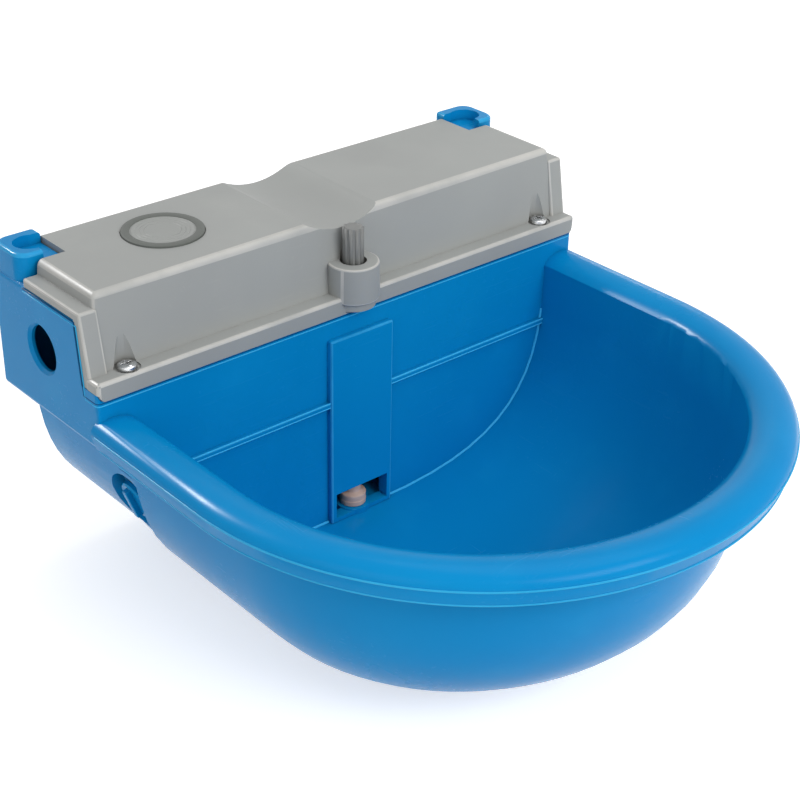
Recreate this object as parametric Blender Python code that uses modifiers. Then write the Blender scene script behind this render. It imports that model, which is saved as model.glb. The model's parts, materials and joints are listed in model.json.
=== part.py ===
# Float drinking bowl for livestock, hung on a wall.
# The origin is on the wall face, on the centre line, level with the bottom edge of the housing.
# +X runs along the housing, -Y points away from the wall, +Z is up. Sizes are in metres.

import math

import bmesh
import bpy
from mathutils import Matrix, Vector

mm = 0.001
gap = 0.3 * mm

# Moulded body
housingWidth = 300 * mm
housingDepth = 87.3 * mm
cheekHeight = 61 * mm
partitionTop = 25.7 * mm
wall = 3 * mm
cheekTopEdge = 71.5 * mm
cheekFootEdge = 75 * mm
edgeRound = 2 * mm
rimTop = 12 * mm

# Float chamber behind the partition, a trough of constant section
chamberHalfWidth = 134 * mm
chamberDepth = 107 * mm
chamberPower = 3.0

# Basin in front of the partition, with straight sides and a round front
basinHalfWidth = 134 * mm
basinReach = 131 * mm
basinDepth = 112.5 * mm
basinCentre = 168 * mm
basinShift = 8.5 * mm
basinWall = 3.2 * mm
basinFloorRise = 5.3 * mm
sidePower = 3.1
endPower = 2.65

# Rolled rim, an open channel below
rimHalfWidth = 153 * mm
rimCentre = 166 * mm
rimCrest = 16.5 * mm
rimCrestInset = 12 * mm
rimInnerFoot = 8.5 * mm
rimParting = 9.3 * mm
rimFoot = 1.2 * mm
rimDraft = 2.4 * mm
rimSkin = 2.6 * mm

# Raised duct on the partition, and the water slot at its foot
ductHalfWidth = 20 * mm
ductProud = 3.4 * mm
ductTop = 14.5 * mm
slotHalfWidth = 17 * mm
slotTop = -75 * mm
slotBottom = -89.5 * mm
ledgeTop = -20 * mm
ledgeHeight = 3 * mm
ledgeProud = 2.4 * mm

# Lugs on the back corners
lugInner = 127 * mm
lugOuter = 149 * mm
lugDepth = 26 * mm
lugFloor = 69 * mm
lugTop = 74.5 * mm
lugPocketRadius = 8 * mm
lugPocketX = 136.5 * mm
lugPocketY = 14 * mm
lugRound = 1.8 * mm
lugCorner = 7 * mm
lugBackGap = 0.2 * mm
lugClearance = 0.6 * mm

# Water inlet
inletBore = 22.5 * mm
inletChamfer = 1.5 * mm
valveY = -41 * mm
valveZ = 34 * mm

# Fixing holes in the back wall
fixingX = 95 * mm
fixingZ = 48 * mm
fixingBore = 8 * mm

# Cover
coverTop = 72 * mm
coverBack = 4 * mm
coverTopFront = 75 * mm
coverTopHalfWidth = 141 * mm
coverFootFront = 81 * mm
coverFootHalfWidth = 147 * mm
coverWall = 2.5 * mm
coverEdge = 2.6 * mm
flangeHeight = 9 * mm
flangeFront = 88.8 * mm
flangeCorner = 3.6 * mm
flangeLip = 0.8 * mm
stripTopFront = 76.4 * mm
stripFootFront = 81.6 * mm
flangeThickness = 4 * mm
flangeReach = 10 * mm
valleyRadius = 45 * mm
valleyDepth = 6 * mm
bossRadius = 13.3 * mm
bossTop = 50.7 * mm
bossFoot = 31.7 * mm
bossTaper = 0.4 * mm
bossWellRadius = 6.7 * mm
bossWellDepth = 5 * mm
skirtRadius = 11.2 * mm
skirtFoot = 27.6 * mm

# Badge
badgeRadius = 20 * mm
badgeX = -78.7 * mm
badgeY = -37 * mm
badgeThickness = 1.6 * mm
badgeSink = 1 * mm

# Cover screws
screwX = 130 * mm
screwY = -81.5 * mm
screwSeat = 34.4 * mm
screwHeadRadius = 4.8 * mm
screwHeadHeight = 2.6 * mm
screwShankRadius = 2 * mm
screwLength = 24 * mm
screwPostRadius = 4.3 * mm
screwPostDepth = 20 * mm
reliefRadius = 6.3 * mm
reliefHeight = 40 * mm

# Drain pull: knob, rod and stopper
rodY = -83 * mm
rodRadius = 1.5 * mm
knobRadius = 5.3 * mm
knobTop = 68.7 * mm
knobFlutes = 10
knobSocket = 14 * mm
stopperRadius = 7 * mm
stopperHeight = 6.5 * mm
stopperPlug = 4.5 * mm
outletRadius = 6 * mm
outletWall = 3 * mm
outletFoot = -106 * mm
outletTop = slotBottom + 0.6 * mm

# Side port and its quarter-turn plug
portY = -72 * mm
portDrop = 56 * mm
portRecessY = -77 * mm
portRecessRadius = 19.5 * mm
portRecessDepth = 7 * mm
portFloor = 3 * mm
portBoreRadius = 7.3 * mm
portEdge = 84.8 * mm
plugHeadRadius = 10.4 * mm
plugHeadHeight = 3 * mm
plugGripHeight = 3 * mm
plugGripWidth = 3.6 * mm
plugLugWidth = 4 * mm
plugLugHeight = 2.4 * mm
plugLugReach = 2.4 * mm
sealHeight = 1.5 * mm

# Float valve on a web inside the chamber
webX = -69 * mm
webFoot = -20 * mm
webTop = 50 * mm
threadRadius = 10.4 * mm
threadLength = 26 * mm
lockNutHeight = 5.5 * mm
lockNutRadius = 15.6 * mm
gasketHeight = 2 * mm
valveFlangeRadius = 14 * mm
valveFlangeHeight = 4.4 * mm
barrelRadius = 10.5 * mm
barrelEnd = -22 * mm
inletBoreRadius = 6 * mm
pistonBoreRadius = 7.2 * mm
nozzleBack = -52 * mm
nozzleTip = -46.8 * mm
nozzleTipRadius = 3.2 * mm
nozzleBoreRadius = 2 * mm
outletX = -37.5 * mm
outletBossRadius = 9.5 * mm
outletBossFoot = 14 * mm
outletTubeRadius = 6.8 * mm
outletTubeWall = 1.5 * mm
outletTubeFoot = -32 * mm
outletSocket = 7 * mm

# Lever, pivot and float, drawn with the valve shut and then let down
pivotX = -12 * mm
pivotZ = 21 * mm
pivotRadius = 2 * mm
pivotHalfLength = 11.5 * mm
lugPlateInner = 7 * mm
lugPlateOuter = 10 * mm
hubRadius = 5 * mm
cheekGap = 0.5 * mm
pushThickness = 4 * mm
noseRadius = 3 * mm
pushHalfWidth = 3.4 * mm
floatDrop = math.radians(22)
armThickness = 3 * mm
armHalfWidth = 5.5 * mm
floatX = 65 * mm
floatLength = 90 * mm
floatWidth = 54 * mm
floatHeight = 36 * mm
floatTop = 9 * mm
floatRound = 7 * mm
stemRadius = 3 * mm
stemTop = 30 * mm
stemHeadRadius = 8 * mm
stemHeadHeight = 2.5 * mm
nutRadius = 6.2 * mm
nutHeight = 4.2 * mm
sealDiscRadius = 5.2 * mm
sealDiscHeight = 2.4 * mm
pistonRadius = 6.9 * mm
pistonLength = 15 * mm
pistonStemRadius = 3.4 * mm

far = 500 * mm


def clearScene():
    for item in list(bpy.data.objects):
        bpy.data.objects.remove(item, do_unlink=True)


def newCollection(name):
    collection = bpy.data.collections.new(name)
    bpy.context.scene.collection.children.link(collection)
    return collection


clearScene()
partsCollection = newCollection("float_drinking_bowl")
cutterCollection = newCollection("cutters")


def paint(name, colour, roughness, metallic=0.0):
    material = bpy.data.materials.new(name)
    material.use_nodes = True
    shader = material.node_tree.nodes["Principled BSDF"]
    shader.inputs["Base Color"].default_value = (*colour, 1.0)
    shader.inputs["Roughness"].default_value = roughness
    shader.inputs["Metallic"].default_value = metallic
    material.diffuse_color = (*colour, 1.0)
    return material


bluePlastic = paint("blue_plastic", (0.01, 0.2, 0.55), 0.3)
greyPlastic = paint("grey_plastic", (0.36, 0.37, 0.36), 0.45)
badgePlastic = paint("badge_plastic", (0.12, 0.12, 0.12), 0.5)
whitePlastic = paint("white_plastic", (0.8, 0.8, 0.76), 0.4)
floatFoam = paint("float_foam", (0.62, 0.5, 0.4), 0.7)
blackRubber = paint("black_rubber", (0.02, 0.02, 0.02), 0.7)
paleRubber = paint("pale_rubber", (0.6, 0.42, 0.33), 0.7)
brass = paint("brass", (0.62, 0.44, 0.18), 0.3, 1.0)
steel = paint("steel", (0.6, 0.6, 0.6), 0.28, 1.0)


def asPart(obj, material):
    """Makes the object one of the sub-parts."""
    obj.data.materials.clear()
    obj.data.materials.append(material)
    for collection in list(obj.users_collection):
        collection.objects.unlink(obj)
    partsCollection.objects.link(obj)
    obj.hide_render = False
    obj.display_type = "TEXTURED"
    return obj


def fromBmesh(name, mesh, smoothAngle=35):
    """A new object from a bmesh. It starts as a cutter, and asPart makes it a sub-part."""
    bmesh.ops.recalc_face_normals(mesh, faces=mesh.faces)
    data = bpy.data.meshes.new(name)
    mesh.to_mesh(data)
    mesh.free()
    if smoothAngle:
        data.shade_smooth()
        data.set_sharp_from_angle(angle=math.radians(smoothAngle))
    obj = bpy.data.objects.new(name, data)
    cutterCollection.objects.link(obj)
    obj.hide_render = True
    obj.display_type = "WIRE"
    return obj


def box(name, low, high):
    mesh = bmesh.new()
    bmesh.ops.create_cube(mesh, size=1.0)
    size = [b - a for a, b in zip(low, high)]
    centre = [(a + b) / 2 for a, b in zip(low, high)]
    bmesh.ops.scale(mesh, vec=size, verts=mesh.verts)
    bmesh.ops.translate(mesh, vec=centre, verts=mesh.verts)
    return fromBmesh(name, mesh, smoothAngle=0)


def turnTo(direction):
    """The rotation that takes +Z to the given direction."""
    return Vector((0, 0, 1)).rotation_difference(Vector(direction)).to_matrix().to_4x4()


def rod(name, radius, start, end, endRadius=None, sides=32):
    """A cylinder or a cone between two points."""
    start = Vector(start)
    end = Vector(end)
    mesh = bmesh.new()
    bmesh.ops.create_cone(
        mesh,
        cap_ends=True,
        segments=sides,
        radius1=radius,
        radius2=radius if endRadius is None else endRadius,
        depth=(end - start).length,
    )
    place = Matrix.Translation((start + end) / 2) @ turnTo(end - start)
    bmesh.ops.transform(mesh, matrix=place, verts=mesh.verts)
    return fromBmesh(name, mesh)


def turned(name, profile, origin, direction, steps=32):
    """A closed profile of (radius, height) points, turned about an axis through the origin."""
    mesh = bmesh.new()
    points = [mesh.verts.new((radius, 0, height)) for radius, height in profile]
    for first, second in zip(points, points[1:] + points[:1]):
        mesh.edges.new((first, second))
    data = bpy.data.meshes.new(name)
    mesh.to_mesh(data)
    mesh.free()
    obj = bpy.data.objects.new(name, data)
    obj.matrix_world = Matrix.Translation(Vector(origin)) @ turnTo(direction)
    screw = obj.modifiers.new("turn", "SCREW")
    screw.axis = "Z"
    screw.steps = steps
    screw.render_steps = steps
    screw.use_merge_vertices = True
    screw.merge_threshold = 0.00002
    screw.use_smooth_shade = True
    cutterCollection.objects.link(obj)
    obj.hide_render = True
    obj.display_type = "WIRE"
    return obj


def lofted(name, rings, fold=None):
    """A solid through rings of equally many points. The last cap may be folded at a point."""
    mesh = bmesh.new()
    rows = [[mesh.verts.new(point) for point in ring] for ring in rings]
    count = len(rows[0])
    for upper, lower in zip(rows, rows[1:]):
        for i in range(count):
            j = (i + 1) % count
            mesh.faces.new((upper[i], upper[j], lower[j], lower[i]))
    mesh.faces.new(rows[0])
    if fold is None:
        mesh.faces.new(rows[-1])
    else:
        mesh.faces.new(rows[-1][: fold + 1])
        mesh.faces.new([rows[-1][0], *rows[-1][fold:]])
    return fromBmesh(name, mesh)


def prism(name, outline, start, end, axis):
    """An outline in the plane across the axis, carried from start to end along it."""
    def place(u, v, along):
        return {"X": (along, u, v), "Y": (u, along, v), "Z": (u, v, along)}[axis]

    rings = [[place(u, v, along) for u, v in outline] for along in (start, end)]
    return lofted(name, rings)


def boolean(obj, other, operation="DIFFERENCE"):
    modifier = obj.modifiers.new(operation.lower(), "BOOLEAN")
    modifier.operation = operation
    modifier.object = other
    modifier.solver = "EXACT"
    return obj


def cut(obj, *others):
    for other in others:
        boolean(obj, other)
    return obj


def join(obj, *others):
    for other in others:
        boolean(obj, other, "UNION")
    return obj


def rounded(obj, width, segments=3, angle=40):
    modifier = obj.modifiers.new("round", "BEVEL")
    modifier.width = width
    modifier.segments = segments
    modifier.limit_method = "ANGLE"
    modifier.angle_limit = math.radians(angle)
    return obj


def power(value, exponent):
    return math.copysign(abs(value) ** exponent, value)


def troughOutline(halfWidth, depth, steps=36):
    """The chamber's section, as (x, z) points from the left edge round the bottom to the right."""
    points = []
    for i in range(steps + 1):
        angle = math.pi * i / steps
        x = -halfWidth * power(math.cos(angle), 2 / chamberPower)
        z = rimTop - depth * power(math.sin(angle), 2 / chamberPower)
        points.append((x, z))
    return points


def arcPoint(angle, halfWidth, reach, centre):
    return Vector((halfWidth * math.cos(angle), -centre + reach * math.sin(angle), 0))


def basinSolid(name, offset, top, floorRise, around=40, down=13):
    """The basin grown by an offset from its inner face, with a flat top and a small flat foot."""
    inner = basinWall - offset
    depth = basinDepth - inner
    back = wall - housingDepth + 5 * mm
    rings = []
    for k in range(down):
        level = math.sin(0.5 * math.pi * k / down) ** (2 / sidePower)
        across = (basinHalfWidth - inner) * (1 - level**sidePower) ** (1 / sidePower)
        along = (basinReach - inner) * (1 - level**endPower) ** (1 / endPower)
        centre = basinCentre + basinShift * level**2
        lift = Vector((0, 0, top if k == 0 else rimTop - level * depth))
        turns = [math.pi + math.pi * i / around for i in range(around + 1)]
        ring = [arcPoint(turn, across, along, centre) + lift for turn in turns]
        lift.z += floorRise * level
        ring += [Vector((across, back, 0)) + lift, Vector((-across, back, 0)) + lift]
        rings.append(ring)
    return lofted(name, rings, fold=around)


def rimPath(steps=56):
    """Pairs of inner and outer points of the rim, from the left end round to the right."""
    innerHalf = basinHalfWidth - basinWall
    innerReach = basinReach - basinWall
    start = wall - housingDepth
    path = [(Vector((-innerHalf, start, 0)), Vector((-rimHalfWidth, start, 0)))]
    for i in range(steps + 1):
        angle = math.pi + math.pi * i / steps
        inner = arcPoint(angle, innerHalf, innerReach, basinCentre)
        path.append((inner, arcPoint(angle, rimHalfWidth, rimHalfWidth, rimCentre)))
    path.append((Vector((innerHalf, start, 0)), Vector((rimHalfWidth, start, 0))))
    return path


def quarter(centre, radii, start, steps=5):
    """Points of a quarter ellipse, clockwise from a start angle in quarter turns."""
    points = []
    for i in range(steps + 1):
        angle = 0.5 * math.pi * (start - i / steps)
        points.append((centre[0] + radii[0] * math.cos(angle), centre[1] + radii[1] * math.sin(angle)))
    return points


def rimSection():
    """The rim's section as (share of width, height) points: a skin that is open below."""
    width = rimHalfWidth - basinHalfWidth + basinWall
    run = width - rimCrestInset
    inside = -0.8 * mm
    root = basinWall - 0.6 * mm
    deep = rimFoot - 4 * mm
    ceiling = rimCrest - rimSkin
    shoulder = ceiling - rimParting
    section = [(inside, deep)]
    section += quarter((rimCrestInset, rimInnerFoot), (rimCrestInset - inside, rimCrest - rimInnerFoot), 2)
    section += quarter((rimCrestInset, rimParting), (run, rimCrest - rimParting), 1)[1:]
    section += [(width - rimDraft, rimFoot), (width - rimDraft - rimSkin, rimFoot)]
    section += quarter((rimCrestInset, rimParting), (run - rimSkin, shoulder), 1)[::-1]
    section += [(root, ceiling - 1.5 * mm), (root, deep)]
    return [(offset / width, height) for offset, height in section]


def makeRim():
    section = rimSection()
    rings = []
    for inner, outer in rimPath():
        rings.append([inner.lerp(outer, share) + Vector((0, 0, height)) for share, height in section])
    return lofted("rim", rings)


def makePortFrame():
    """The side port's centre on the chamber's outer face, and its outward direction."""
    share = (portDrop / chamberDepth) ** chamberPower
    x = chamberHalfWidth * (1 - share) ** (1 / chamberPower)
    slopeX = x ** (chamberPower - 1) / chamberHalfWidth**chamberPower
    slopeZ = portDrop ** (chamberPower - 1) / chamberDepth**chamberPower
    outward = Vector((-slopeX, 0, -slopeZ)).normalized()
    return Vector((-x, portY, rimTop - portDrop)), outward


portCentre, portOut = makePortFrame()


def alongPort(distance):
    """A point on the side port's axis, measured inwards from the chamber's outer face."""
    return portCentre - portOut * distance


def makeHousing():
    half = housingWidth / 2
    housing = box("bowl_body", (-half, -housingDepth, 0), (half, 0, cheekHeight))
    rounded(housing, edgeRound, segments=2)
    trough = prism(
        "trough_outer",
        troughOutline(chamberHalfWidth, chamberDepth),
        -housingDepth,
        0,
        "Y",
    )
    basin = basinSolid("basin_outer", basinWall, rimInnerFoot, 0)
    behind = box("behind_partition", (-far, wall / 3 - housingDepth, -far), (far, far, far))
    cut(basin, behind)
    join(housing, trough, basin, makeRim())
    return housing


def cornerFillet(name, side, grow):
    """The rounded corner of the body that the end of the cover's front flange sits in."""
    radius = flangeCorner - grow
    inner = housingWidth / 2 - flangeLip - flangeCorner
    level = partitionTop + flangeCorner
    arc = quarter((inner, level), (radius, radius), 0)
    foot = partitionTop - 1 * mm
    outline = [(far, foot), (far, level + grow), (arc[0][0], level + grow), *arc, (arc[-1][0], foot)]
    return prism(name, [(side * x, z) for x, z in outline], -far, far, "Y")


def hollowHousing(housing):
    half = housingWidth / 2 - wall
    depth = chamberDepth - wall
    basin = basinSolid("basin_inner", 0, rimTop + 5 * mm, basinFloorRise)
    cut(basin, box("partition_block", (-far, -housingDepth, -far), (far, far, far)))
    trough = prism(
        "trough_inner",
        troughOutline(chamberHalfWidth - wall, depth),
        wall - housingDepth,
        -wall,
        "Y",
    )
    upper = box("chamber_upper", (-half, wall - housingDepth, wall), (half, -wall, far))
    cut(housing, basin, trough, upper)


def addDuct(housing):
    front = -housingDepth - ductProud
    duct = box(
        "duct",
        (-ductHalfWidth, front, slotBottom - 3 * mm),
        (ductHalfWidth, wall / 2 - housingDepth, ductTop),
    )
    rounded(duct, 1 * mm, segments=2)
    hollow = box(
        "duct_hollow",
        (wall - ductHalfWidth, front + wall, slotBottom),
        (ductHalfWidth - wall, 2 * wall - housingDepth, ductTop - wall),
    )
    slot = box(
        "water_slot",
        (-slotHalfWidth, front - 8 * mm, slotBottom),
        (slotHalfWidth, 2 * wall - housingDepth, slotTop),
    )
    ledge = box(
        "ledge",
        (0.5 * basinWall - basinHalfWidth, -housingDepth - ledgeProud, ledgeTop - ledgeHeight),
        (basinHalfWidth - 0.5 * basinWall, wall / 2 - housingDepth, ledgeTop),
    )
    rounded(ledge, 0.8 * mm, segments=2)
    rodGroove = rod(
        "rod_groove",
        rodRadius + gap,
        (0, rodY, ductTop - 2 * wall),
        (0, rodY, partitionTop + 5 * mm),
        sides=16,
    )
    grooveMouth = box(
        "rod_groove_mouth",
        (-rodRadius - gap, rodY, ductTop - 2 * wall),
        (rodRadius + gap, rodY + 2 * wall, partitionTop + 5 * mm),
    )
    join(housing, ledge, duct)
    cut(housing, hollow, slot, rodGroove, grooveMouth)


def addOutlet(housing):
    spigot = rod(
        "outlet_spigot",
        outletRadius + outletWall,
        (0, rodY, outletFoot),
        (0, rodY, outletTop),
    )
    bore = rod(
        "outlet_bore",
        outletRadius,
        (0, rodY, outletFoot - 5 * mm),
        (0, rodY, slotBottom + 5 * mm),
    )
    join(housing, spigot)
    cut(housing, bore)


def cutCoverSeat(housing):
    frontSeat = [
        (-far, partitionTop),
        (-cheekFootEdge, partitionTop),
        (-cheekTopEdge, cheekHeight),
        (-cheekTopEdge, far),
        (-far, far),
    ]
    seat = prism("cover_front_seat", frontSeat, -far, far, "X")
    cut(seat, cornerFillet("seat_corner", -1, 0), cornerFillet("seat_corner", 1, 0))
    cut(housing, seat)


def addScrewPosts(housing):
    for side in (-1, 1):
        post = rod(
            "screw_post",
            screwPostRadius,
            (side * screwX, screwY, partitionTop - screwPostDepth),
            (side * screwX, screwY, partitionTop + 2 * mm),
            sides=24,
        )
        pilot = rod(
            "screw_pilot",
            screwShankRadius + gap,
            (side * screwX, screwY, screwSeat - screwLength - 1 * mm),
            (side * screwX, screwY, partitionTop + 5 * mm),
            sides=16,
        )
        join(housing, post)
        cut(housing, pilot)


def addLugs(housing):
    """The back corner lugs: a back lip and an outer lip round a pocket that opens inwards."""
    outerCorner = lugOuter - lugCorner
    radii = (lugCorner, lugCorner)
    outline = [(lugInner, -lugBackGap)]
    outline += quarter((outerCorner, -lugBackGap - lugCorner), radii, 1)
    outline += quarter((outerCorner, lugCorner - lugDepth), radii, 0)
    outline += [(lugInner, -lugDepth)]
    for side in (-1, 1):
        block = prism("lug", [(side * x, y) for x, y in outline], cheekHeight - 2 * wall, lugTop, "Z")
        rounded(block, lugRound, segments=3)
        centre = (side * lugPocketX, -lugPocketY)
        pocket = rod("lug_pocket", lugPocketRadius, (*centre, lugFloor), (*centre, far), sides=32)
        inward = sorted((side * lugPocketX, side * (lugInner - 5 * mm)))
        mouth = box(
            "lug_mouth",
            (inward[0], centre[1] - far, lugFloor),
            (inward[1], centre[1] + lugPocketRadius - 1 * mm, far),
        )
        cut(block, pocket, mouth)
        join(housing, block)


def addValveWeb(housing):
    web = box(
        "valve_web",
        (webX - wall, wall / 2 - housingDepth, webFoot),
        (webX, -wall / 2, webTop),
    )
    bore = rod(
        "valve_web_bore",
        threadRadius + gap,
        (webX - 2 * wall, valveY, valveZ),
        (webX + wall, valveY, valveZ),
    )
    coverWay = box(
        "valve_web_front",
        (-far, -far, partitionTop - 2 * mm),
        (far, coverWall - cheekTopEdge, far),
    )
    cut(web, bore, coverWay)
    join(housing, web)


def addSidePort(housing):
    recessCentre = Vector((0, portRecessY - portY, 0))
    seat = rod(
        "port_seat",
        portRecessRadius + wall,
        alongPort(portRecessDepth + portFloor) + recessCentre,
        alongPort(0.9 * wall) + recessCentre,
        sides=40,
    )
    recess = rod(
        "port_recess",
        portRecessRadius,
        alongPort(portRecessDepth) + recessCentre,
        alongPort(-10 * mm) + recessCentre,
        sides=40,
    )
    bore = rod(
        "port_bore",
        portBoreRadius,
        alongPort(portRecessDepth + portFloor + 5 * mm),
        alongPort(0),
        sides=24,
    )
    beyond = box("port_edge", (-far, -far, -far), (far, -portEdge, far))
    cut(seat, beyond)
    cut(recess, beyond)
    join(housing, seat)
    cut(housing, recess, bore, portNotch())


def portNotch():
    """The two notches of the side port's bore, through which the plug's lugs are pushed in."""
    notch = box(
        "port_notch",
        (
            -portBoreRadius - plugLugReach - 2 * gap,
            -plugLugWidth / 2 - 2 * gap,
            -portRecessDepth - portFloor - 5 * mm,
        ),
        (
            portBoreRadius + plugLugReach + 2 * gap,
            plugLugWidth / 2 + 2 * gap,
            gap - portRecessDepth,
        ),
    )
    notch.matrix_world = Matrix.Translation(portCentre) @ turnTo(portOut)
    return notch


def addInlet(housing):
    half = housingWidth / 2
    bore = rod(
        "inlet_bore",
        inletBore / 2,
        (-half - 5 * mm, valveY, valveZ),
        (-half + 2 * wall, valveY, valveZ),
        sides=40,
    )
    chamfer = rod(
        "inlet_chamfer",
        inletBore / 2 + 2 * inletChamfer,
        (-half - inletChamfer, valveY, valveZ),
        (-half + inletChamfer, valveY, valveZ),
        endRadius=inletBore / 2,
        sides=40,
    )
    cut(housing, bore, chamfer)


def addFixingHoles(housing):
    for side in (-1, 1):
        hole = rod(
            "fixing_hole",
            fixingBore / 2,
            (side * fixingX, -2 * wall, fixingZ),
            (side * fixingX, wall, fixingZ),
            sides=20,
        )
        cut(housing, hole)


def makeBowlBody():
    housing = makeHousing()
    hollowHousing(housing)
    addDuct(housing)
    addOutlet(housing)
    addScrewPosts(housing)
    cutCoverSeat(housing)
    addLugs(housing)
    addValveWeb(housing)
    addSidePort(housing)
    addInlet(housing)
    addFixingHoles(housing)
    return asPart(housing, bluePlastic)


def coverBlock(name, inset, foot):
    """The cover's drafted block, drawn in by an inset on every side but the foot."""
    def ring(half, front, back, z):
        return [(-half, -front, z), (half, -front, z), (half, -back, z), (-half, -back, z)]

    lean = (coverFootHalfWidth - coverTopHalfWidth) / (coverTop - bodySeam)
    below = (bodySeam - foot) * lean
    lower = ring(
        coverFootHalfWidth - inset + below,
        coverFootFront - inset + below,
        coverBack + inset,
        foot,
    )
    upper = ring(
        coverTopHalfWidth - inset,
        coverTopFront - inset,
        coverBack + inset,
        coverTop - inset,
    )
    block = lofted(name, [upper, lower])
    rounded(block, coverEdge if inset == 0 else coverEdge - 1 * mm, segments=3, angle=60)
    return block


bodySeam = partitionTop + 2 * gap
cheekSeam = cheekHeight + gap
railBack = lugDepth + 2.5 * mm


def belowSeam():
    """All that lies behind and below the cover's seam with the body."""
    outline = [
        (-far, -far),
        (-far, bodySeam),
        (-cheekFootEdge - gap, bodySeam),
        (-cheekTopEdge - gap, cheekSeam),
        (far, cheekSeam),
        (far, -far),
    ]
    return prism("below_seam", outline, -far, far, "X")


def valleyCutter(name, grow):
    centre = coverTop - valleyDepth + valleyRadius
    return rod(
        name,
        valleyRadius + grow,
        (0, -far, centre),
        (0, far, centre),
        sides=96,
    )


def rearCorner(side, grow, foot):
    low = sorted((side * (lugInner - lugClearance - grow), side * far))
    return box(
        "rear_corner",
        (low[0], -railBack - grow, foot),
        (low[1], far, far),
    )


def makeCoverFlange(cover):
    half = housingWidth / 2
    top = cheekSeam + flangeThickness
    foot = bodySeam - 1.5 * wall
    strip = [
        (-railBack, cheekSeam - wall),
        (-railBack, top),
        (-stripTopFront, top),
        (-stripFootFront, bodySeam + flangeHeight),
        (-stripFootFront, foot),
        (wall - cheekFootEdge, foot),
        (wall - cheekTopEdge, cheekSeam - wall),
    ]
    for side in (-1, 1):
        bar = prism("flange_side", strip, side * (half - gap), side * (half - flangeReach), "X")
        rounded(bar, 1.2 * mm, segments=2, angle=30)
        join(cover, bar)
    front = box(
        "flange_front",
        (-half, -flangeFront, bodySeam - 2 * wall),
        (half, -coverFootFront + coverWall, bodySeam + flangeHeight),
    )
    rounded(front, 1.6 * mm, segments=3)
    join(cover, front)


def makeBoss(cover):
    boss = rod(
        "boss",
        bossRadius,
        (0, rodY, bossFoot),
        (0, rodY, bossTop),
        endRadius=bossRadius - bossTaper,
        sides=48,
    )
    skirt = rod("boss_skirt", skirtRadius, (0, rodY, skirtFoot), (0, rodY, bossFoot + 3 * mm), sides=40)
    rounded(boss, 0.9 * mm, segments=2)
    join(cover, skirt, boss)


def drillCover(cover):
    """The cover's holes for the pull rod, the badge and the two screws."""
    bore = rod("rod_bore", rodRadius + gap, (0, rodY, 0), (0, rodY, bossTop), sides=16)
    well = rod(
        "knob_well",
        bossWellRadius,
        (0, rodY, bossTop - bossWellDepth),
        (0, rodY, coverTop + 5 * mm),
        sides=40,
    )
    recess = rod(
        "badge_recess",
        badgeRadius + gap,
        (badgeX, badgeY, coverTop - badgeSink),
        (badgeX, badgeY, coverTop + 5 * mm),
        sides=48,
    )
    cut(cover, bore, well, recess)
    for side in (-1, 1):
        head = rod(
            "screw_head_seat",
            reliefRadius,
            (side * screwX, screwY, screwSeat),
            (side * screwX, screwY, bodySeam + flangeHeight + 1 * mm),
            sides=32,
        )
        shank = rod(
            "screw_clearance",
            screwShankRadius + gap,
            (side * screwX, screwY, 0),
            (side * screwX, screwY, screwSeat + 1 * mm),
            sides=16,
        )
        cut(cover, reliefCone("relief", side, 0), head, shank)


def makeCover():
    cover = coverBlock("cover", 0, bodySeam - wall)
    cut(cover, valleyCutter("valley", 0))
    makeCoverFlange(cover)
    makeBoss(cover)
    cut(cover, belowSeam())
    for side in (-1, 1):
        cut(cover, cornerFillet("flange_corner", side, gap))
    cavity = coverBlock("cover_cavity", coverWall, bodySeam - 10 * mm)
    cut(cavity, valleyCutter("valley_inner", coverWall))
    for side in (-1, 1):
        cut(cover, rearCorner(side, 0, cheekSeam - 10 * mm))
        cut(cavity, rearCorner(side, coverWall, -far))
        cut(cavity, reliefCone("relief_skin", side, coverWall))
    wellShell = rod(
        "knob_well_shell",
        bossWellRadius + coverWall,
        (0, rodY, 0),
        (0, rodY, coverTop + 5 * mm),
        sides=40,
    )
    cut(cavity, wellShell)
    cut(cover, cavity)
    drillCover(cover)
    return asPart(cover, greyPlastic)


def reliefCone(name, side, grow):
    """The screwdriver relief that narrows up the cover's front wall."""
    foot = screwSeat if grow == 0 else bodySeam - 5 * mm
    return rod(
        name,
        reliefRadius + grow,
        (side * screwX, screwY, foot),
        (side * screwX, screwY, screwSeat + reliefHeight),
        endRadius=0.2 * mm + grow,
        sides=32,
    )


def makeBadge():
    foot = coverTop - badgeSink + gap
    badge = rod(
        "cover_badge",
        badgeRadius,
        (badgeX, badgeY, foot),
        (badgeX, badgeY, foot + badgeThickness),
        sides=48,
    )
    return asPart(badge, badgePlastic)


def makeScrew(name, side):
    seat = screwSeat + gap
    profile = [
        (0, seat + screwHeadHeight),
        (0.6 * screwHeadRadius, seat + screwHeadHeight),
        (0.93 * screwHeadRadius, seat + 0.7 * screwHeadHeight),
        (screwHeadRadius, seat),
        (screwShankRadius, seat),
        (screwShankRadius, seat - screwLength + 3 * mm),
        (0.4 * mm, seat - screwLength),
        (0, seat - screwLength),
    ]
    screw = turned(name, profile, (side * screwX, screwY, 0), (0, 0, 1), steps=24)
    for turn in (0, 1):
        reach = 0.6 * screwHeadRadius
        width = 0.5 * mm
        sizes = (reach, width) if turn == 0 else (width, reach)
        slot = box(
            "cross_slot",
            (side * screwX - sizes[0], screwY - sizes[1], seat + 0.5 * screwHeadHeight),
            (side * screwX + sizes[0], screwY + sizes[1], seat + 2 * screwHeadHeight),
        )
        cut(screw, slot)
    return asPart(screw, steel)


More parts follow.
